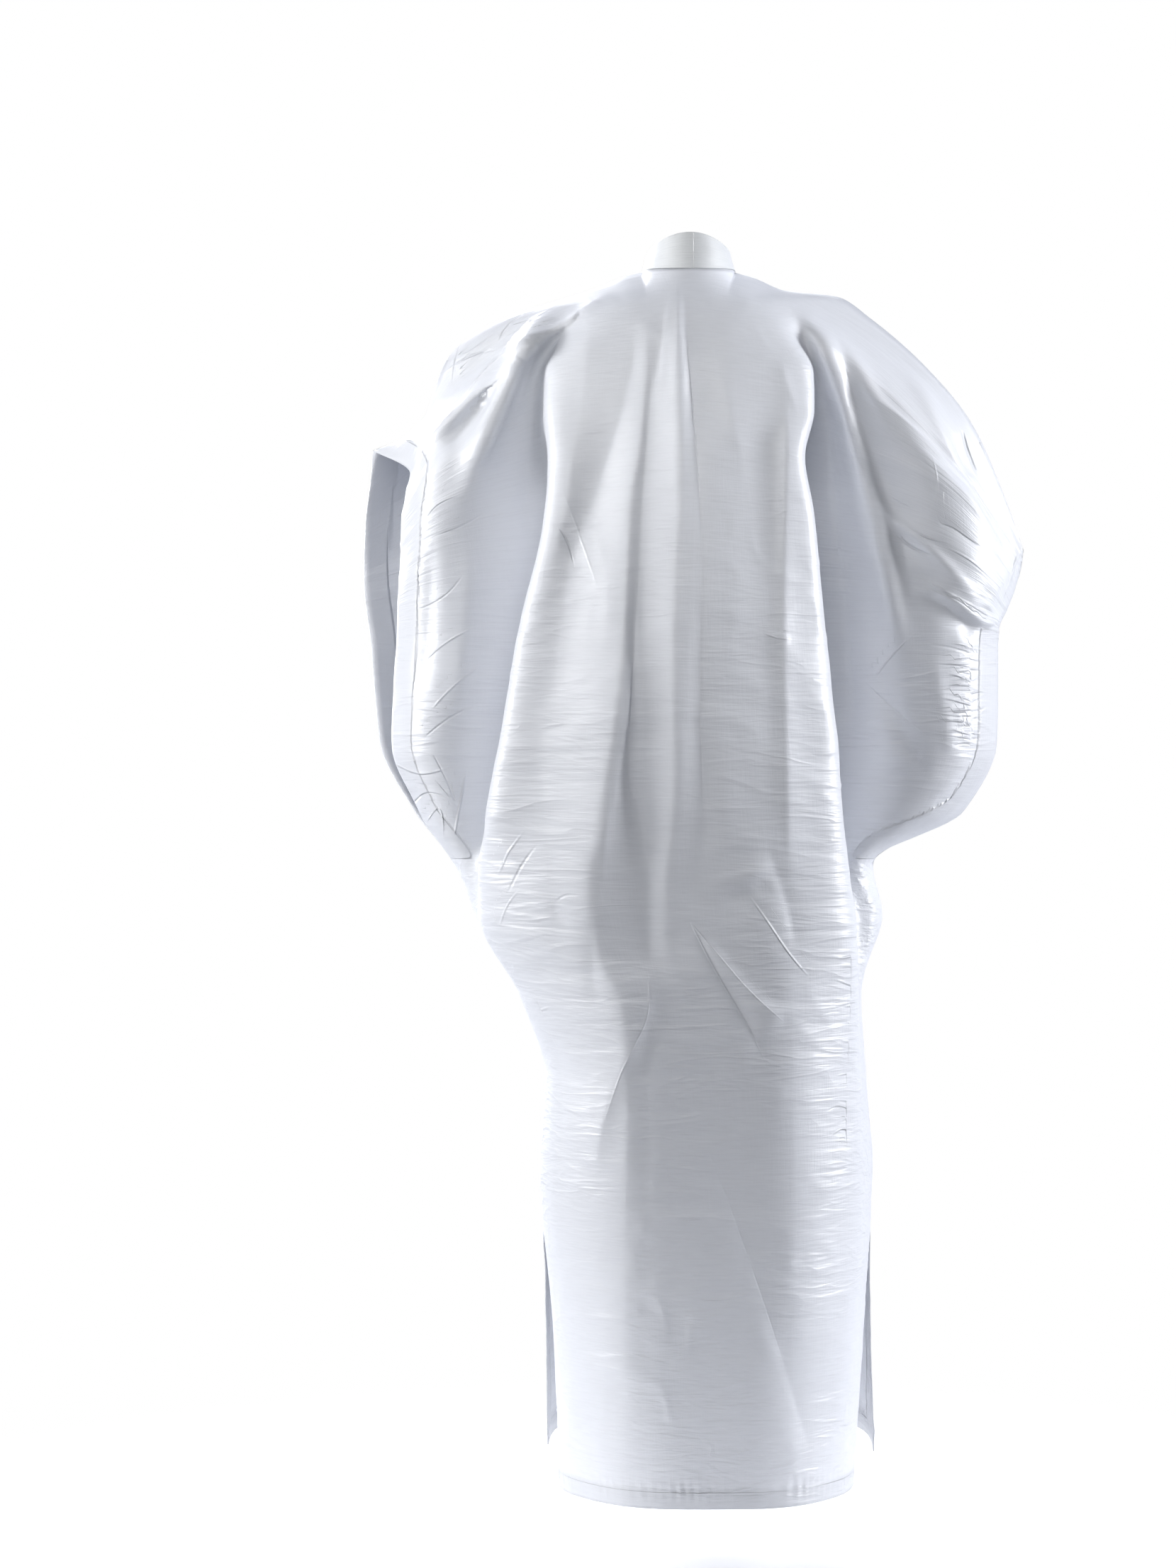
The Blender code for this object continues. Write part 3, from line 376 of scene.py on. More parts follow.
def both_panels(places, row_drops):
    """(back, front): the two panels' outer points, equal along every seam."""
    body = body_share(places)
    grids = []
    for table, pleats, folds, turn in ((BACK, BACK_PLEATS, BACK_SLEEVE_FOLDS, 1),
                                       (FRONT, FRONT_PLEATS, FRONT_SLEEVE_FOLDS, -1)):
        grid = panel_points(table, turn, places, row_drops)
        grid[..., 1] += turn * body * pleat_lift(grid[..., 0], grid[..., 2], pleats)
        grid[..., 1] += turn * (1 - body) * fold_lift(grid[..., 0], grid[..., 2], folds)
        grids.append(grid)
    back, front = grids
    # The front hangs a little shorter, with its corners a little lower than its middle.
    across = (places - KNOTS[MID]) / (KNOTS[-1] - KNOTS[MID])
    rise = FRONT_RISE - CORNER_DIP * np.abs(across) ** 4
    front[..., 2] += ease(row_drops, RISE_DROP, HEM_DROP)[:, None] * rise[None, :]
    for column, side in ((0, "l"), (-1, "r")):
        part = edge_open(row_drops, side)[:, None]
        near = np.exp(-np.abs(places - places[column]) / SEAM_REACH)
        shift = (1 - part) * (back[:, column] - front[:, column])
        front += near[None, :, None] * shift[:, None, :]
        front[:, column] = np.where(part > 0, front[:, column], back[:, column])
    front[0] = np.where(on_shoulders(places)[:, None], back[0], front[0])
    return back, front


def grid_normals(grid, turn):
    """Unit normals of a grid, pointing out of the robe."""
    normal = np.cross(np.gradient(grid, axis=0), np.gradient(grid, axis=1)) * turn
    return normal / np.linalg.norm(normal, axis=2, keepdims=True)


def inward_steps(grid):
    """Unit steps from the grid's border points into the cloth, and 0 inside it."""
    steps = np.zeros_like(grid)
    steps[0] = grid[1] - grid[0]
    for side, by in ((0, 1), (-1, -2)):
        steps[1:, side] = grid[1:, by] - grid[1:, side]
        steps[0, side] = grid[1, by] - grid[0, side]
    return steps / (np.linalg.norm(steps, axis=2, keepdims=True) + TINY)


KNOTS = column_knots()

# ---- creases
# A crease runs along a line of points, in the zone of the cloth that stands over its rows. Its
# widths are on the wearer's left and right of the line. Its height is over 0 for a ridge and under
# 0 for a trough, and its edge is 2 for a soft one and near 1 for a crisp one. It fades in and out
# over these shares of its length.
# x,z of each point | width left, width right, height | edge, fade in, fade out
BACK_CREASES = """
# Small creases on the right part.
body
-87,-455 -103,-461 -118,-462 | 4 5 1.6 | 1.2 .3 .3
# Small creases on the left part.
157,-275 130,-345 104,-420 | 6 12 1.2 | 1.3 .3 .4
161,-322 148,-345 140,-374 | 5 6 -1.6 | 1.4 .3 .3
235,-700 215,-725 200,-745 | 8 8 2 | 1.3 .3 .4
166,-777 150,-800 140,-802 | 7 8 -1.8 | 1.3 .3 .4
# The crisp edges of the long pleats, from the neck down past the hip.
1,-64 -1,-133 -3,-236 0,-339 6,-459 10,-579 15,-682 25,-790 | 34 70 6.5 | 1.3 .1 .18
-8,-130 -14,-236 -16,-339 -16,-459 -18,-579 -20,-682 -16,-790 | 26 50 6.4 | 1.8 .22 .25
-30,-110 -48,-190 -72,-290 | 10 22 2 | 1.4 .35 .45
-106,-120 -118,-155 -130,-200 | 12 10 2.2 | 1.3 .3 .4
67,-442 80,-545 94,-631 106,-717 113,-794 115,-888 | 50 16 7.4 | 1.1 .2 .3
-116,-160 -113,-288 -109,-416 -111,-545 -114,-674 -124,-785 | 12 46 7.8 | 1.2 .12 .24
# The left sleeve's fold runs on over the shoulder towards the neck.
84,-28 100,-36 118,-48 136,-61 158,-77 | 6 12 3.6 | 1.6 .6 .02
# Below the hip: the zigzag edge between the lighter left part and the middle.
53,-830 53,-916 67,-948 87,-1000 106,-1060 112,-1120 | 46 10 5.5 | 1.1 .2 .25
110,-704 115,-794 116,-888 109,-923 | 10 12 -2.4 | 1.3 .2 .3
# The flat facets that spread down and right from under the middle pleat.
0,-803 -36,-845 -74,-888 -117,-927 | 30 7 4.8 | 1 .25 .15
0,-803 -31,-863 -66,-923 -96,-983 | 7 12 -3 | 1.1 .15 .3
-23,-751 -57,-748 -98,-736 | 7 8 2.8 | 1.3 .3 .3
-31,-775 -66,-770 -104,-756 | 7 8 -2.6 | 1.3 .3 .3
-90,-700 -105,-745 -122,-800 -128,-850 | 10 16 -3 | 1.3 .3 .3
# The long facet from the middle of the skirt to its right corner.
-18,-1069 -48,-1146 -74,-1219 -96,-1283 -121,-1360 -149,-1455 | 10 60 -2.4 | 1.2 .15 .1
# The right sleeve: its crests and the deep valley beside the body.
right
-146,-74 -176,-108 -190,-168 -203,-237 -220,-314 -241,-400 -252,-460 | 16 12 6 | 1.3 .1 .3
-157,-65 -190,-117 -217,-186 -240,-260 | 6 7 3 | 1.3 .15 .4
-165,-130 -176,-240 -188,-340 -196,-450 -202,-560 -206,-650 | 14 26 -11 | 1.6 .15 .25
# The tuck at the right elbow: the pouch's lower edge, the hollow under it and what it draws in.
-292,-388 -321,-405 -343,-422 -360,-433 -374,-436 -386,-430 -397,-416 | 5 20 8.5 | 1.2 .3 .15
-286,-400 -318,-418 -342,-434 -362,-446 | 16 5 -6 | 1.3 .3 .15
-256,-327 -282,-348 -306,-357 | 6 8 -2.2 | 1.3 .2 .4
-298,-315 -321,-319 -343,-332 -366,-345 | 6 8 -2.4 | 1.3 .3 .3
-278,-371 -315,-397 -349,-413 | 6 7 -2.2 | 1.2 .2 .3
-324,-456 -345,-462 -366,-464 | 6 6 2.6 | 1.2 .3 .3
-368,-420 -392,-385 -410,-355 | 6 8 3.4 | 1.3 .1 .3
-335,-200 -340,-230 -350,-262 | 7 7 -4 | 1.5 .3 .3
-270,-110 -310,-190 -352,-285 -384,-350 | 10 12 4 | 1.5 .2 .3
-230,-500 -262,-560 -300,-640 | 12 12 -4 | 1.6 .25 .3
-300,-470 -316,-545 -330,-620 | 10 10 3 | 1.5 .25 .3
# The left sleeve: its crest, the rim along its top, and the valleys beside them.
left
160,-46 178,-66 198,-98 214,-138 229,-176 245,-213 262,-254 | 18 9 8.6 | 1.3 .36 .2
205,-88 231,-125 258,-165 285,-200 303,-227 | 10 11 -8.5 | 1.5 .2 .2
156,-37 196,-66 227,-103 258,-134 292,-176 316,-206 335,-223 | 6 10 5.6 | 1.2 .28 .12
189,-56 230,-90 261,-125 289,-165 312,-191 | 13 6 -6 | 1.4 .15 .2
189,-97 210,-145 224,-186 241,-227 258,-272 | 6 6 -4.4 | 1.3 .2 .3
172,-70 196,-118 207,-158 221,-200 | 5 7 3 | 1.3 .4 .35
172,-104 182,-122 190,-150 192,-190 198,-260 208,-360 | 12 10 -4 | 1.6 .35 .4
270,-330 276,-440 290,-560 | 12 14 4 | 1.7 .25 .3
318,-330 322,-430 334,-540 | 10 12 -3.6 | 1.7 .25 .3
"""
FRONT_CREASES = """
body
100,-360 80,-400 62,-455 | 6 8 2 | 1.3 .3 .4
-90,-500 -76,-540 -70,-590 | 6 6 1.8 | 1.3 .3 .4
30,-790 60,-850 96,-900 130,-930 | 8 8 3 | 1.3 .2 .4
20,-800 40,-890 70,-980 | 8 7 3 | 1.3 .2 .4
-30,-780 -70,-840 -116,-880 -150,-900 | 7 8 2.8 | 1.3 .2 .4
-16,-1000 -40,-1120 -60,-1260 -66,-1420 | 10 16 3.4 | 1.4 .3 .2
40,-1020 70,-1140 90,-1280 112,-1430 | 14 10 3.4 | 1.4 .3 .2
-120,-960 -128,-1120 -150,-1320 | 12 12 -3.4 | 1.6 .3 .2
right
-160,-70 -200,-140 -226,-260 -252,-400 | 9 8 4.4 | 1.3 .1 .3
-352,-430 -312,-372 -270,-330 | 6 7 3.2 | 1.2 .1 .4
-352,-436 -308,-424 -262,-420 | 6 7 2.8 | 1.2 .1 .4
-250,-130 -300,-220 -350,-320 | 12 10 -3.6 | 1.5 .2 .3
-286,-440 -300,-520 -306,-610 | 11 10 3.4 | 1.5 .25 .3
left
180,-70 220,-130 246,-240 268,-360 | 9 8 4.4 | 1.3 .1 .3
200,-60 262,-100 316,-160 364,-220 | 7 7 3.6 | 1.3 .1 .3
224,-64 276,-92 318,-136 350,-190 | 6 6 -3 | 1.3 .1 .3
296,-260 306,-380 320,-520 | 12 12 3.6 | 1.6 .25 .3
344,-240 350,-360 352,-500 | 10 12 -3.6 | 1.6 .25 .3
"""
# Thin crisp creases, drawn by the material from fields on the mesh.
# x,z of each point | half width, height | fade in, fade out
BACK_LINES = """
body
0,-803 -31,-863 -66,-923 -96,-983 | 1.6 .5 | .02 .4
-70,-770 -96,-807 -119,-841 -145,-871 | 2 1.4 | .15 .3
0,-803 -36,-845 -74,-888 -117,-927 | 1.6 .7 | .05 .3
-18,-1069 -48,-1146 -74,-1219 -96,-1283 -121,-1360 | 1.8 -.4 | .15 .4
53,-856 53,-916 67,-948 87,-1000 106,-1060 | 1.8 .5 | .2 .4
162,-778 149,-770 130,-770 | 2.6 -.8 | .3 .4
235,-751 218,-717 196,-687 | 2.4 .7 | .3 .5
157,-275 130,-345 108,-410 | 2.4 .4 | .3 .4
222,-772 200,-730 178,-702 | 2.6 -.7 | .3 .5
232,-815 222,-785 204,-762 | 2.2 .6 | .3 .4
-87,-455 -103,-461 -118,-462 | 1.8 1.1 | .3 .3
161,-322 148,-345 140,-374 | 1.8 -1 | .3 .3
205,-905 196,-925 176,-935 | 1.8 1 | .2 .4
-196,-1036 -180,-1030 -166,-1034 | 1.8 -1.2 | .1 .5
-198,-1060 -184,-1058 -172,-1066 | 1.8 1.1 | .1 .5
# The right sleeve: at the tuck, the creases that it draws in and the corner of the elbow.
right
-371,-425 -349,-413 -315,-397 -278,-371 | 2.4 1.2 | .05 .5
-378,-383 -343,-357 -315,-343 | 2.2 .9 | .3 .4
-366,-345 -343,-332 -321,-319 -298,-315 | 2.2 -1.4 | .3 .4
-315,-338 -292,-332 -273,-322 | 2 1.1 | .3 .4
-306,-357 -282,-348 -256,-327 | 2.2 -1.4 | .3 .3
-276,-295 -262,-287 -247,-278 | 1.8 .7 | .3 .4
-352,-424 -330,-408 -306,-398 -285,-386 | 2 -1 | .1 .4
-343,-194 -350,-221 -362,-250 | 3.4 -2 | .2 .3
-418,-345 -405,-380 -396,-411 | 3 1.6 | .2 .3
-229,-507 -257,-472 -282,-446 | 1.8 .7 | .2 .4
-216,-507 -255,-543 -299,-578 | 1.8 -.6 | .2 .4
-300,-230 -306,-262 -304,-300 | 1.8 .6 | .3 .4
# The left sleeve: above its rim, and the crumples at the cuff's foot.
left
238,-69 273,-94 290,-102 | 2 1.2 | .3 .4
326,-309 312,-292 282,-279 | 2 1 | .3 .4
207,-50 224,-63 236,-83 | 2 -1.2 | .2 .3
308,-120 277,-102 246,-92 | 2.2 1.2 | .3 .3
160,-40 196,-66 227,-103 258,-134 292,-176 316,-206 | 2.6 1.2 | .2 .2
282,-76 290,-102 294,-138 | 2 -1 | .3 .4
317,-543 282,-507 246,-481 | 2.2 1 | .1 .5
317,-331 282,-318 246,-296 | 1.8 -.8 | .3 .4
326,-578 290,-551 255,-534 | 2.2 -1 | .1 .5
326,-481 290,-455 255,-437 | 2 .9 | .1 .5
365,-610 334,-622 290,-613 | 2.2 1.3 | .1 .4
334,-419 299,-402 273,-367 | 2 -.8 | .1 .5
345,-662 326,-648 290,-657 | 2.2 -1.5 | .1 .4
326,-684 310,-666 303,-705 | 2 1.5 | .1 .3
290,-701 282,-657 273,-613 | 2.2 1.4 | .1 .4
317,-596 299,-631 282,-675 | 2 -1.2 | .2 .3
"""
FRONT_LINES = """
body
20,-800 40,-890 70,-980 | 2.4 1.2 | .1 .3
30,-790 60,-850 96,-900 130,-930 | 2.4 1.4 | .1 .3
-30,-780 -70,-840 -116,-880 | 2.4 1.3 | .1 .3
-16,-1000 -40,-1120 -60,-1260 | 2.4 -.8 | .1 .3
right
-352,-430 -312,-372 -270,-330 | 2.4 1.5 | .05 .5
-352,-436 -308,-424 -262,-420 | 2.2 -1.4 | .05 .5
-360,-420 -330,-350 -306,-300 | 2.2 1.2 | .05 .5
left
320,-600 300,-640 282,-690 | 2.2 1.3 | .2 .3
345,-640 312,-636 276,-650 | 2.2 -1.3 | .1 .4
"""
LINE_LAYERS = 3  # neighbouring lines lie in different fields
LINE_REACH = 7.0  # a field is read this many half widths out
LINE_ZONE = 0.3  # and where a point belongs to the line's zone by more than this share
CREASE_REACH = 4  # a crease is read this many widths out
CREASE_ZONE = 0.01  # and over this share of its zone

# Short creases drawn in by the hems' stitches, along a stitched line.
# x,z of the line's points | shortest, longest | the way in as x and z, how many, random seed
BACK_PUCKERS = """
right
-350,-462 -351,-546 -351,-590 | 22 58 | 1 .1 18 5
-352,-462 -353,-546 -353,-590 | 10 24 | -1 .15 10 6
body
-200,-830 -204,-960 -198,-1080 | 10 30 | 1 .15 12 9
190,-900 176,-1000 176,-1090 | 10 26 | -1 .2 9 10
"""
FRONT_PUCKERS = """
right
-346,-470 -348,-546 -346,-640 | 20 50 | 1 .1 14 15
left
352,-330 356,-450 350,-560 | 18 44 | -1 .1 14 18
body
-196,-830 -200,-960 -196,-1080 | 10 30 | 1 .15 10 19
186,-900 174,-1000 174,-1090 | 10 26 | -1 .2 9 20
"""
LINE_HEIGHTS = (0.0007, 0.0016)  # the puckers' least and greatest height
LINE_HALVES = (0.0016, 0.0028)  # and half width
CREASE_STEPS = 24  # a crease's line is read at this many places
FAR_OFF = 1e9


def crease_rows(table):
    """Each row of a table of creases: its zone, its points, its sizes and its other numbers."""
    for row in rows_of(table):
        if "|" not in row:
            zone = row
            continue
        points, sizes, rest = row.split("|")
        yield zone, np.reshape(metres(points), (-1, 2)), metres(sizes), [float(word) for word in rest.split()]


def nearest(points, x, z, reach, inside, fades, open_ends=False):
    """(near, far, side, strength): which points a line reaches, and for each of those how far it
    lies from the line, on which side, and how much of the crease's height is left there."""
    knots = run(points)
    path = spline(knots, points, np.linspace(0, knots[-1], CREASE_STEPS))
    near = ((x > path[:, 0].min() - reach) & (x < path[:, 0].max() + reach)
            & (z > path[:, 1].min() - reach) & (z < path[:, 1].max() + reach) & inside)
    x, z = x[near], z[near]
    best, side, along = np.full(x.shape, FAR_OFF), np.zeros(x.shape), np.zeros(x.shape)
    last = CREASE_STEPS - 2
    for i in range(last + 1):
        start, step = path[i], path[i + 1] - path[i]
        t = ((x - start[0]) * step[0] + (z - start[1]) * step[1]) / (step @ step)
        t = np.clip(t, None if open_ends and i == 0 else 0, None if open_ends and i == last else 1)
        dx, dz = x - start[0] - t * step[0], z - start[1] - t * step[1]
        far = np.hypot(dx, dz)
        closer = far < best
        best = np.where(closer, far, best)
        side = np.where(closer, np.sign(step[0] * dz - step[1] * dx), side)
        along = np.where(closer, (i + t) / (last + 1), along)
    return near, best, side, ease(along, 0, fades[0]) * (1 - ease(along, 1 - fades[1], 1))


def crease_lift(x, z, creases, zone_of):
    """How far the creases move each point out of the cloth's face."""
    lift = np.zeros_like(x)
    for zone, points, (left, right, height), (edge, *fades) in crease_rows(creases):
        reach, inside = CREASE_REACH * max(left, right), zone_of[zone] > CREASE_ZONE
        near, far, side, strength = nearest(points, x, z, reach, inside, fades)
        shape = np.exp(-((far / np.where(side > 0, left, right)) ** edge)) * strength
        lift[near] += height * shape * zone_of[zone][near]
    return lift


def pucker_lines(groups):
    """The short creases along the hems, as thin lines."""
    for zone, seam, lengths, (way_x, way_z, count, seed) in crease_rows(groups):
        rng = np.random.default_rng(int(seed))
        knots = run(seam)
        places = (np.arange(count) + rng.uniform(0.2, 0.8, int(count))) / count * knots[-1]
        for foot in spline(knots, seam, places):
            way = np.array((way_x, way_z + rng.uniform(-0.25, 0.25)))
            tip = foot + rng.uniform(*lengths) * way / np.linalg.norm(way)
            height = rng.uniform(*LINE_HEIGHTS) * rng.choice((-1, 1, 1))
            middle = (foot + tip) / 2 + (0, rng.uniform(-0.002, 0.002))
            yield zone, np.array([foot, middle, tip]), (rng.uniform(*LINE_HALVES), height), (0.04, 0.7)


def line_fields(x, z, lines, zone_of):
    """For each layer and point: how many half widths off its nearest line lies, and its height."""
    fields = []
    for layer in range(LINE_LAYERS):
        across, height = np.full(x.shape, LINE_REACH), np.zeros(x.shape)
        for zone, points, (half, high), fades in lines[layer::LINE_LAYERS]:
            inside = zone_of[zone] > LINE_ZONE
            near, far, side, strength = nearest(points, x, z, LINE_REACH * half, inside, fades, True)
            offset = side * far / half
            closer = np.abs(offset) < np.abs(across[near])
            across[near] = np.where(closer, offset, across[near])
            height[near] = np.where(closer, high * strength, height[near])
        height *= 1 - ease(np.abs(across), 0.6 * LINE_REACH, LINE_REACH)
        fields.append(np.stack([across, height, 0 * across], -1))
    return fields


# ---- the cloth's fine form
FINE_SIDE_STEPS = (24, 26, 16, 14, 24, 26)  # mesh steps between the control columns of one side
FINE_ROWS = 296
SHELL = 0.0016  # the shown cloth's thickness
HEM_WIDTH = 0.030  # the turned hem at the cuffs
SKIRT_HEM_WIDTH = 0.021  # and along the bottom and the side vents
PUCKER_STEP = 0.013  # between two puckers of a hem
PUCKER_HEIGHT = 0.0007
CRUMPLES = (  # the cloth's small crumples: cell across, cell down, height, seed
    (0.11, 0.075, 0.0016, 0), (0.055, 0.034, 0.0009, 20),
)
NEAR_EDGE = 64  # columns beside a free edge within which its distance is measured
CUFF_DEPTH_SHARE = 0.3  # at the cuffs, where the cloth turns away, depth counts for this share
CELLS = (61, 67)  # a noise's cells, before it repeats


def lattice_noise(u, v, cell_u, cell_v, seed):
    """Smooth noise from -1 to 1 in cells of this size."""
    table = np.random.default_rng(seed).uniform(-1, 1, CELLS)
    a, b = np.asarray(u) / cell_u, np.asarray(v) / cell_v
    i, j = np.floor(a).astype(int), np.floor(b).astype(int)
    s, t = ease(a - i, 0, 1), ease(b - j, 0, 1)
    i0, i1, j0, j1 = i % CELLS[0], (i + 1) % CELLS[0], j % CELLS[1], (j + 1) % CELLS[1]
    return ((table[i0, j0] * (1 - s) + table[i1, j0] * s) * (1 - t)
            + (table[i0, j1] * (1 - s) + table[i1, j1] * s) * t)


def crumple(u, v, cell_u, cell_v, seed):
    """Noise from 0 to 1 with crisp ridges, as creased satin has."""
    bend_u = cell_u * 0.8 * lattice_noise(u, v, cell_u * 2, cell_v * 2, seed + 1)
    bend_v = cell_v * 0.8 * lattice_noise(u, v, cell_u * 2, cell_v * 2, seed + 2)
    fine = lattice_noise(u + bend_u, v + bend_v, cell_u, cell_v, seed)
    return 1 - np.minimum(1, 2.2 * np.abs(fine))


def edge_distances(grid, drops):
    """(from the left edge, from the right edge, from the bottom) of each point."""
    down = np.linalg.norm(np.diff(grid, axis=0), axis=2)
    bottom = np.zeros(grid.shape[:2])
    bottom[:-1] = np.cumsum(down[::-1], axis=0)[::-1]
    grid = grid.copy()
    grid[drops < HIP_DROP, :, 1] *= CUFF_DEPTH_SHARE
    sides = []
    for edge, near in ((grid[:, 0], slice(0, NEAR_EDGE)), (grid[:, -1], slice(-NEAR_EDGE, None))):
        far = np.full(grid.shape[:2], 1.0)
        for start, end in zip(edge[:-1], edge[1:]):
            step, from_start = end - start, grid[:, near] - start
            t = np.clip(from_start @ step / (step @ step), 0, 1)
            far[:, near] = np.minimum(far[:, near], np.linalg.norm(from_start - t[..., None] * step, axis=2))
        sides.append(far)
    return (*sides, bottom)


def puckers(along, from_edge, width, seed):
    """Small waves across a hem, deepest at its stitches."""
    phase = along / PUCKER_STEP + 0.8 * lattice_noise(along, 0 * along, 0.05, 1.0, seed)
    depth = 0.55 + 0.45 * lattice_noise(along, 0 * along, 0.03, 1.0, seed + 1)
    by_stitches = np.exp(-(((from_edge - width) / (0.55 * width)) ** 2))
    return PUCKER_HEIGHT * depth * np.sin(2 * np.pi * phase) * by_stitches


def dress(grid, turn, creases, lines, pucker_rows, seed, drops, places):
    """(points, hem, fields): the panel with its creases and puckers, how far each point lies from
    a hemmed edge, in widths of the hem and 1 at most, and its thin lines."""
    left, right, bottom = edge_distances(grid, drops)
    drop, place = drops[:, None] + 0 * grid[..., 0], places[None, :] + 0 * grid[..., 0]
    body = body_share(place)
    left_of = place < KNOTS[MID]
    zone_of = {"body": body, "left": (1 - body) * left_of, "right": (1 - body) * (1 - left_of)}
    lines = [*crease_rows(lines), *pucker_lines(pucker_rows)]
    lift = crease_lift(grid[..., 0], grid[..., 2], creases, zone_of)
    fields = line_fields(grid[..., 0], grid[..., 2], lines, zone_of)
    # The small crumples come in patches.
    strong = 0.35 + 0.65 * np.clip(0.5 + 0.9 * lattice_noise(place, drop, 0.16, 0.22, seed + 7), 0, 1)
    for cell_across, cell_down, height, more in CRUMPLES:
        lift += height * strong * crumple(place, drop, cell_across, cell_down, seed + more)
    # At an edge that is sewn into a seam there is no hem, and so no puckers.
    hem = np.full(drop.shape, 1.0)
    for from_edge, side, more in ((left, "l", 31), (right, "r", 37)):
        part = edge_open(drops, side)[:, None]
        lift *= np.where(part > 0, 1, ease(from_edge, 0, 0.02))
        width = np.where(drops < VENT_DROP, HEM_WIDTH, SKIRT_HEM_WIDTH)[:, None]
        lift += part * puckers(drop, from_edge, width, seed + more)
        hem = np.minimum(hem, np.where(part > 0.02, from_edge / width, 1.0 + from_edge))
    lift += puckers(place, bottom, SKIRT_HEM_WIDTH, seed + 41)
    hem = np.minimum(hem, bottom / SKIRT_HEM_WIDTH)
    lift *= ease(drop, 0, 0.03)
    return grid + lift[..., None] * grid_normals(grid, turn), hem, fields


# ---- meshes
def mesh_object(name, points, faces, finish, uvs=None, hems=None, fields=(), smooth=True):
    """A mesh object from points and faces; uvs, hems and each of fields hold a value for each point."""
    mesh = bpy.data.meshes.new(name)
    mesh.from_pydata([tuple(p) for p in points], [], [tuple(int(i) for i in f) for f in faces])
    mesh.update()
    if uvs is not None:
        corner = np.zeros(len(mesh.loops), int)
        mesh.loops.foreach_get("vertex_index", corner)
        mesh.uv_layers.new(name="cloth").data.foreach_set("uv", np.asarray(uvs, float)[corner].ravel())
    if hems is not None:
        mesh.attributes.new("hem", "FLOAT", "POINT").data.foreach_set("value", np.asarray(hems, float))
    for number, field in enumerate(fields):
        attribute = mesh.attributes.new(f"line_{number}", "FLOAT_VECTOR", "POINT")
        attribute.data.foreach_set("vector", np.asarray(field, float).ravel())
    if smooth:
        mesh.shade_smooth()
    mesh.materials.append(finish)
    made = bpy.data.objects.new(name, mesh)
    bpy.context.scene.collection.objects.link(made)
    return made


def numbered(start, grid):
    """Numbers from start on for the points of a grid."""
    return start + np.arange(grid.shape[0] * grid.shape[1]).reshape(grid.shape[:2])


def quads(grid, turn=1):
    """The faces of a grid of point numbers."""
    corners = (grid[:-1, :-1], grid[1:, :-1], grid[1:, 1:], grid[:-1, 1:])
    return np.stack(corners if turn > 0 else (corners[0], *corners[:0:-1]), -1).reshape(-1, 4)


def sheet_faces(o, i, closed_sides):
    """Faces of a thin sheet from its outer and inner grids of point numbers; the inner one has every second
    point of the outer one. A side is closed from its first to its last point of the inner grid."""
    rims = {
        "top": (o[0], i[0]), "bottom": (o[-1][::-1], i[-1][::-1]),
        "left": (o[::-1, 0], i[::-1, 0]), "right": (o[:, -1], i[:, -1]),
    }
    strips = []
    for side, (first, last) in closed_sides.items():
        out, back = rims[side]
        for k in range(first, last):
            strips.append((*out[2 * k : 2 * k + 3], back[k + 1], back[k]))
    return [tuple(face) for face in (*quads(o), *quads(i, -1))] + strips


def panel_mesh(name, parts, turn, cloth):
    """A panel from its parts, side by side. Each part holds its outer points, its inner ones, its values for
    every outer point, and how many rows of it are free at its left and at its right."""
    points, values, faces, count, seam = [], [], [], 0, None
    for outer, inner, kept, free_left, free_right in parts:
        ids = numbered(count, outer)
        ids_in = numbered(count + ids.size, inner)
        count += ids.size + ids_in.size
        points += [outer.reshape(-1, 3), inner.reshape(-1, 3)]
        values += [kept.reshape(ids.size, -1), kept[::2, ::2].reshape(ids_in.size, -1)]
        if seam:
            ids[free_left:, 0], ids_in[free_left // 2 :, 0] = seam
        seam = ids[free_right:, -1].copy(), ids_in[free_right // 2 :, -1].copy()
        down, across = ids_in.shape[0] - 1, ids_in.shape[1] - 1
        sides = {"top": (0, across), "bottom": (0, across),
                 "left": (down - free_left // 2, down) if free_left else (0, down),
                 "right": (0, free_right // 2) if free_right else (0, down)}
        faces += [face[::turn] for face in sheet_faces(ids, ids_in, sides)]
    used = np.zeros(count, bool)
    for face in faces:
        used[list(face)] = True
    renumber = np.cumsum(used) - 1
    points, values = np.vstack(points)[used], np.vstack(values)[used]
    fields = [values[:, 3 + 3 * k : 6 + 3 * k] for k in range(LINE_LAYERS)]
    return mesh_object(name, points, [tuple(renumber[list(face)]) for face in faces], cloth,
                       values[:, :2], values[:, 2], fields)


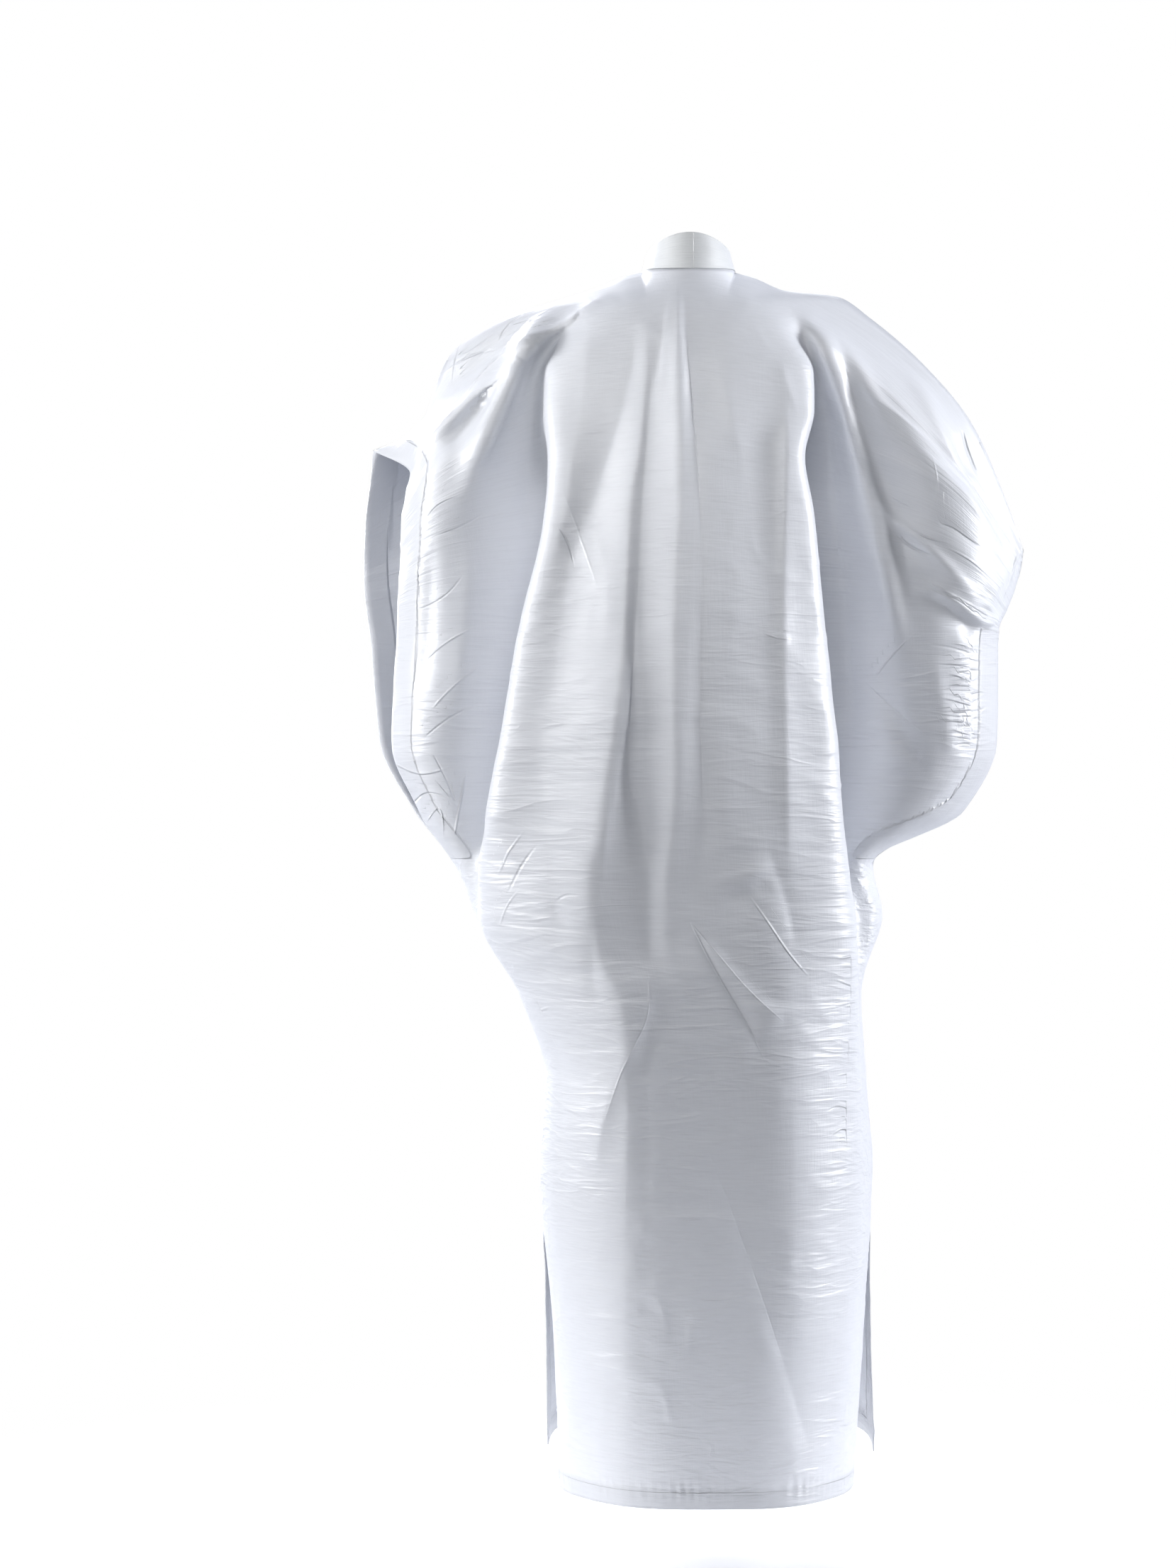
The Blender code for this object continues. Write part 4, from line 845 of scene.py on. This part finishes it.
def build_panels(cloth):
    """The back and front panels: (places, (back grid, its normals), (front grid, its normals), objects)."""
    drops = np.linspace(0, HEM_DROP, FINE_ROWS + 1)
    places = columns_at(FINE_SIDE_STEPS)
    back, front = both_panels(places, drops)
    back, *back_values = dress(back, 1, BACK_CREASES, BACK_LINES, BACK_PUCKERS, 100, drops, places)
    front, *front_values = dress(front, -1, FRONT_CREASES, FRONT_LINES, FRONT_PUCKERS, 500, drops, places)
    back_out, front_out = grid_normals(back, 1), grid_normals(front, -1)
    # Along a seam both panels are thickened the same way.
    joined = np.zeros(back.shape[:2], bool)
    joined[0, on_shoulders(places)] = True
    for column, side in ((0, "l"), (-1, "r")):
        joined[:, column] |= edge_open(drops, side) == 0
    mean = back_out + front_out - inward_steps(back) - inward_steps(front)
    mean /= np.linalg.norm(mean, axis=2, keepdims=True) + TINY
    back_out, front_out = (np.where(joined[..., None], mean, out) for out in (back_out, front_out))
    uvs = np.stack(np.broadcast_arrays(places[None, :], drops[:, None]), -1)
    back_kept, front_kept = (np.dstack([uvs, hem, *fields]) for hem, fields in (back_values, front_values))
    back_in = (back - SHELL * back_out)[::2, ::2]
    front_in = (front - SHELL * front_out)[::2, ::2]
    made = [panel_mesh("boubou_back", [(back, back_in, back_kept, 0, 0)], 1, cloth)]

    # The front is parted down its middle from the throat to the slit's foot.
    middle = int(np.argmin(np.abs(places - KNOTS[MID])))
    below = THROAT_Z - front[:, middle, 2]
    foot = 2 * (int((below < SLIT_LENGTH).sum()) // 2)
    gap = SLIT_TOP * np.clip(1 - below / SLIT_LENGTH, 0, 1)
    parts = []
    for part, seam, shift in ((slice(0, middle + 1), -1, 1), (slice(middle, len(places)), 0, -1)):
        outer = front[:, part].copy()
        inner = front_in[:, part.start // 2 : (part.stop - 1) // 2 + 1].copy()
        outer[:foot, seam, 0] += shift * gap[:foot]
        inner[: foot // 2, seam, 0] += shift * gap[:foot:2]
        free = (0, foot) if shift > 0 else (foot, 0)
        parts.append((outer, inner, front_kept[:, part], *free))
    made.append(panel_mesh("boubou_front", parts, -1, cloth))
    return places, (back, back_out), (front, front_out), made


COLLAR_LEVELS = 14
COLLAR_CAP = 6  # steps of its rounded top edge
COLLAR_WAVE = 0.0006  # how unevenly its cloth lies
COLLAR_SHARP = 50  # edges over this many degrees are shown crisp
NO_HEM = 2.0  # its distance from a hem's edge, well past the stitches at 1


def build_collar(back, front, places, finish):
    """The two halves of the stand, with rounded top edges. back and front are (grid, normals)."""
    first, middle, last = (int(np.argmin(np.abs(places - KNOTS[k]))) for k in (NECK_L, MID, NECK_R))
    made = []
    for name, sign, seed, from_nape, from_side in (
        ("boubou_collar_left", 1, 77, range(middle, first - 1, -1), range(first + 1, middle + 1)),
        ("boubou_collar_right", -1, 79, range(middle, last + 1), range(last - 1, middle - 1, -1)),
    ):
        base, out = (np.array([b[0, i] for i in from_nape] + [f[0, i] for i in from_side])
                     for b, f in zip(back, front))
        base[0, 0] += sign * SEAM_GAP / 2
        base[-1, 0] += sign * SLIT_TOP
        lean = np.array([*NECK_CENTRE, 0]) - base
        lean[:, 2] = 0
        lean /= np.linalg.norm(lean, axis=1, keepdims=True)
        foot = out - COLLAR_UPRIGHT * lean
        foot /= np.linalg.norm(foot, axis=1, keepdims=True)
        turn = (base[:, 1] - NECK_CENTRE[1]) / NECK_HALF_DEPTH
        rise = np.where(turn > 0, COLLAR_BACK - COLLAR_SIDE, COLLAR_FRONT - COLLAR_SIDE)
        height = COLLAR_SIDE + rise * turn**2
        length = run(base)
        outers, inners = [], []
        for part in np.linspace(0, 1, COLLAR_LEVELS):
            row = base + part * COLLAR_LEAN * lean
            row[:, 2] += SEAM_GAP + part * (height - COLLAR_WALL / 2)
            side = foot * (1 - part) - lean * part
            side /= np.linalg.norm(side, axis=1, keepdims=True)
            thick = WALL + (COLLAR_WALL - WALL) * min(1, part * 4)
            wave = COLLAR_WAVE * lattice_noise(length, part + 0 * length, 0.03, 0.6, seed)
            outers.append(row + wave[:, None] * side)
            inners.append(row + (wave - thick)[:, None] * side)
        caps = []
        for angle in np.linspace(0, np.pi, COLLAR_CAP + 2)[1:-1]:
            cap = (outers[-1] + inners[-1]) / 2 + COLLAR_WALL / 2 * np.cos(angle) * side
            cap[:, 2] += COLLAR_WALL / 2 * np.sin(angle)
            caps.append(cap)
        loop = np.array(outers + caps + inners[::-1])
        ids = numbered(0, loop)
        faces = []
        for here, after in zip(ids, np.roll(ids, -1, axis=0)):
            for c in range(len(here) - 1):
                faces.append((here[c], here[c + 1], after[c + 1], after[c])[::-sign])
        faces += [tuple(ids[::-sign, 0]), tuple(ids[::sign, -1])]
        uvs = np.stack(np.broadcast_arrays(length[None, :], run(loop[:, 0])[:, None]), -1)
        no_hem = np.full(ids.size, NO_HEM)
        half = mesh_object(name, loop.reshape(-1, 3), faces, finish, uvs.reshape(-1, 2), no_hem)
        half.data.set_sharp_from_angle(angle=math.radians(COLLAR_SHARP))
        made.append(half)
    return made


# ---- materials
def node(tree, kind, sockets={}, **settings):
    """A new node with these settings. A socket's value is a number, a colour or the output to link it to."""
    made = tree.nodes.new("ShaderNode" + kind)
    for key, value in settings.items():
        setattr(made, key, value)
    for key, value in sockets.items():
        plug(tree, made.inputs[key], value)
    return made


def plug(tree, socket, value):
    """Links the socket to an output, or sets it to a number or a colour."""
    if isinstance(value, bpy.types.NodeSocket):
        tree.links.new(value, socket)
    else:
        socket.default_value = value


def noise(tree, space, scale, detail, roughness, distortion=0.0):
    """A noise texture in the cloth's own metres, stretched by scale = (across, down) cells a metre."""
    mapping = node(tree, "Mapping", {"Vector": space, "Scale": (*scale, 1)})
    return node(tree, "TexNoise", {"Vector": mapping.outputs["Vector"], "Scale": 1.0, "Detail": detail,
                                   "Roughness": roughness, "Distortion": distortion}).outputs["Fac"]


def ramped(tree, value, low, high, start, end):
    """A smooth step of value, from start at low to end at high."""
    sockets = {"Value": value, "From Min": low, "From Max": high, "To Min": start, "To Max": end}
    return node(tree, "MapRange", sockets, interpolation_type="SMOOTHSTEP").outputs["Result"]


def maths(tree, operation, *values):
    """The result of this operation on numbers or outputs."""
    return node(tree, "Math", dict(enumerate(values)), operation=operation).outputs[0]


def mixed(tree, share, first, second):
    """A colour from first at share 0 to second at share 1."""
    return node(tree, "Mix", {"A": first, "B": second, "Factor": share}, data_type="RGBA").outputs["Result"]


def blended(tree, share, first, second):
    """The same for two shaders."""
    return node(tree, "MixShader", {0: share, 1: first, 2: second}).outputs[0]


# From the largest to the finest: the height that a height of 1 stands for, and the strength.
WRINKLE_BUMP = (0.0046, 0.9)
CRINKLE_BUMP = (0.0075, 0.9)
LINE_BUMP = (1.0, 1.0)
GROOVE_BUMP = (0.0026, 1.0)
STROKE_BUMP = (0.0004, 0.5)
SLUB_BUMP = (0.0006, 0.6)
CRINKLE_WIDTH = 0.10
CLOTH_COLOR = (0.83, 0.85, 0.90)
COLLAR_PAINTED_SHADE_COLOR = (0.68, 0.70, 0.72)  # a doubled, stiffened strip of the same white cloth; its greyer colour is painted shade that keeps the side light from burning it out
SLUB_SHADE = 0.96  # the cloth is a little darker between its slubs
HEM_PAINTED_SHADE = 0.88  # and darker still in the hems: painted shade for the turned hem bands that face away from the light


def cloth_material(name, color, roughness, see_through):
    """Crisp satin-faced cloth with cross slubs, wrinkles, crinkles and stitched hems."""
    made = bpy.data.materials.new(name)
    made.use_nodes = True
    tree = made.node_tree
    shader = tree.nodes["Principled BSDF"]
    space = node(tree, "UVMap", uv_map="cloth").outputs["UV"]
    # Where the cloth is creased most: few wrinkles on the upper back, many under the hips, in patches.
    down = node(tree, "SeparateXYZ", {0: space}).outputs["Y"]
    lower = ramped(tree, down, 0.20, 0.80, 0.40, 1.0)
    patches = ramped(tree, noise(tree, space, (6, 5), 1.5, 0.5), 0.38, 0.60, 0.38, 1.0)
    creased = maths(tree, "MULTIPLY", lower, patches)
    # Cross wrinkles, short crisp crinkles, the weave's slubs and fine strokes along the warp.
    wrinkle = maths(tree, "MULTIPLY", noise(tree, space, (8, 52), 3.5, 0.58, 0.35), creased)
    folded = maths(tree, "SUBTRACT", noise(tree, space, (10, 44), 2.0, 0.45, 0.5), 0.5)
    folded = maths(tree, "ABSOLUTE", folded)
    ridges = maths(tree, "SUBTRACT", CRINKLE_WIDTH, maths(tree, "MINIMUM", folded, CRINKLE_WIDTH))
    crinkle = maths(tree, "MULTIPLY", ridges, creased)
    slub = noise(tree, space, (30, 420), 3.0, 0.55)
    stroke = noise(tree, space, (360, 30), 2.5, 0.6, 0.3)
    hem = node(tree, "Attribute", attribute_name="hem").outputs["Fac"]
    groove = ramped(tree, hem, 0.93, 1.03, 1.0, 0.0)
    lines = None
    for number in range(LINE_LAYERS):
        field = node(tree, "Attribute", attribute_name=f"line_{number}").outputs["Vector"]
        across, high = node(tree, "SeparateXYZ", {0: field}).outputs[:2]
        ridge = ramped(tree, maths(tree, "ABSOLUTE", across), 0.0, 1.0, 1.0, 0.0)
        ridge = maths(tree, "MULTIPLY", ridge, high)
        lines = ridge if lines is None else maths(tree, "ADD", lines, ridge)
    under = {}
    for height, (distance, strength) in ((wrinkle, WRINKLE_BUMP), (crinkle, CRINKLE_BUMP), (lines, LINE_BUMP),
                                         (groove, GROOVE_BUMP), (stroke, STROKE_BUMP), (slub, SLUB_BUMP)):
        bump = node(tree, "Bump", {"Height": height, "Distance": distance, "Strength": strength, **under})
        under = {"Normal": bump.outputs["Normal"]}
    # The darker tone between the slubs is the cloth's own; the darker hem bands are painted shade.
    between, painted_hem_shade = ((*(c * shade for c in color), 1) for shade in (SLUB_SHADE, HEM_PAINTED_SHADE))
    tint = mixed(tree, ramped(tree, slub, 0.3, 0.6, 0.0, 1.0), between, (*color, 1))
    shown = mixed(tree, ramped(tree, hem, 0.97, 1.01, 0.0, 1.0), painted_hem_shade, tint)
    worn = maths(tree, "ADD", maths(tree, "MULTIPLY", slub, -0.10), maths(tree, "MULTIPLY", stroke, -0.14))
    for key, value in {
        **under, "Base Color": shown, "Roughness": maths(tree, "ADD", worn, roughness + 0.12),
        "Sheen Weight": 0.20, "Sheen Roughness": 0.4, "Specular IOR Level": 0.6,
    }.items():
        plug(tree, shader.inputs[key], value)
    # A little light comes through the single cloth.
    through = node(tree, "BsdfTranslucent", {"Color": (*color, 1)})
    plug(tree, tree.nodes["Material Output"].inputs["Surface"],
         blended(tree, see_through, shader.outputs[0], through.outputs[0]))
    return made


# ---- camera, floor and light
FLOOR_Z = -1.60
FLOOR_SIZE = 6.0
FLOOR_FADE = (0.30, 1.25)  # the floor fades into the white between these distances
CAMERA_PLACE = (0.1236, 4.2, -0.636)
FILM = 36  # mm, the sensor's height
FOCAL_LENGTH = 4748  # pixels of the photograph
IMAGE_HEIGHT = 2212  # pixels
LENS = FOCAL_LENGTH / IMAGE_HEIGHT * FILM
WALL_LIGHT = 0.92  # the room's light from the wall beyond the robe, at -Y
ROOM_LIGHT = 0.08  # and from the camera's side
WARM, COOL, WHITE = (1.0, 0.995, 0.98), (0.98, 0.985, 1.0), (1.0, 1.0, 1.0)
LIGHTS = (  # name, place, target, size, power, colour
    ("key", (0.15, 1.15, 0.10), (0, 0, -0.35), (0.8, 0.8), 5.6, WARM),
    ("left_side", (3.0, 0.36, -0.15), (0, 0, -0.6), (1.0, 1.4), 70, WARM),
    ("left_front", (2.5, 1.6, 0.5), (0.2, 0, -0.4), (1.0, 1.6), 22, WARM),
    ("right_side", (-3.0, 0.18, 0.0), (0, 0, -0.6), (1.0, 2.0), 104, COOL),
    ("wearers_front", (1.6, -3.6, 0.6), (0, 0, -0.7), (2.0, 2.4), 240, WHITE),
)


def build_camera():
    """The camera at the photograph's viewing angle: level, and behind the robe."""
    data = bpy.data.cameras.new("camera")
    data.sensor_fit = "VERTICAL"
    data.sensor_height = FILM
    data.lens = LENS
    made = bpy.data.objects.new("camera", data)
    made.location = CAMERA_PLACE
    made.rotation_euler = (math.pi / 2, 0, math.pi)
    bpy.context.scene.collection.objects.link(made)
    bpy.context.scene.camera = made


def build_floor():
    """A pale floor that fades into the white round it."""
    finish = bpy.data.materials.new("pale_floor")
    finish.use_nodes = True
    tree = finish.node_tree
    shader = tree.nodes["Principled BSDF"]
    plug(tree, shader.inputs["Base Color"], (0.93, 0.93, 0.94, 1))
    plug(tree, shader.inputs["Roughness"], 0.7)
    plug(tree, shader.inputs["Specular IOR Level"], 0.2)
    place = node(tree, "TexCoord").outputs["Object"]
    far = node(tree, "VectorMath", {0: place}, operation="LENGTH").outputs["Value"]
    clear = node(tree, "BsdfTransparent").outputs[0]
    plug(tree, tree.nodes["Material Output"].inputs["Surface"],
         blended(tree, ramped(tree, far, *FLOOR_FADE, 0, 1), shader.outputs[0], clear))
    corners = [(x * FLOOR_SIZE, y * FLOOR_SIZE, 0) for x, y in ((-1, -1), (1, -1), (1, 1), (-1, 1))]
    floor = mesh_object("floor", corners, [(0, 1, 2, 3)], finish, smooth=False)
    floor.location = (0, 0, FLOOR_Z)


def build_light():
    """The lights, and the room's own light: bright beyond the robe, dim on the camera's side, and
    plain white where the camera sees it."""
    world = bpy.data.worlds.new("white_room")
    bpy.context.scene.world = world
    world.use_nodes = True
    tree = world.node_tree
    place = node(tree, "TexCoord").outputs["Generated"]
    depth = node(tree, "SeparateXYZ", {0: place}).outputs["Y"]
    ground = tree.nodes["Background"]
    ground.inputs["Color"].default_value = (0.84, 0.88, 1.0, 1)
    plug(tree, ground.inputs["Strength"], ramped(tree, depth, -0.55, 0.35, WALL_LIGHT, ROOM_LIGHT))
    shown = node(tree, "Background", {"Color": (1, 1, 1, 1), "Strength": 1.0}).outputs[0]
    seen = node(tree, "LightPath").outputs["Is Camera Ray"]
    plug(tree, tree.nodes["World Output"].inputs["Surface"], blended(tree, seen, ground.outputs[0], shown))
    for name, place, target, size, power, color in LIGHTS:
        data = bpy.data.lights.new(name, "AREA")
        data.shape = "RECTANGLE"
        data.size, data.size_y = size
        data.energy, data.color = power, color
        made = bpy.data.objects.new(name, data)
        bpy.context.scene.collection.objects.link(made)
        made.location = place
        made.rotation_euler = (Vector(target) - Vector(place)).to_track_quat("-Z", "Y").to_euler()
        made.visible_camera = False


# ---- assembly
build_camera()
build_light()
build_floor()
cloth = cloth_material("white_satin_cloth", CLOTH_COLOR, roughness=0.34, see_through=0.15)
# The collar's greyer colour is painted shade, not a colour of the cloth itself.
stand = cloth_material("white_collar_cloth", COLLAR_PAINTED_SHADE_COLOR, roughness=0.46, see_through=0.05)
places, back, front, panels = build_panels(cloth)
collars = build_collar(back, front, places, stand)

for piece, cad, slot in (
    (panels[0], "back_panel", "cloth"), (panels[1], "front_panel", "cloth"),
    (collars[0], "collar_left", "collar"), (collars[1], "collar_right", "collar"),
):
    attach(piece, "root")
    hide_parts(cad)

bpy.context.scene.view_settings.view_transform = "Standard"
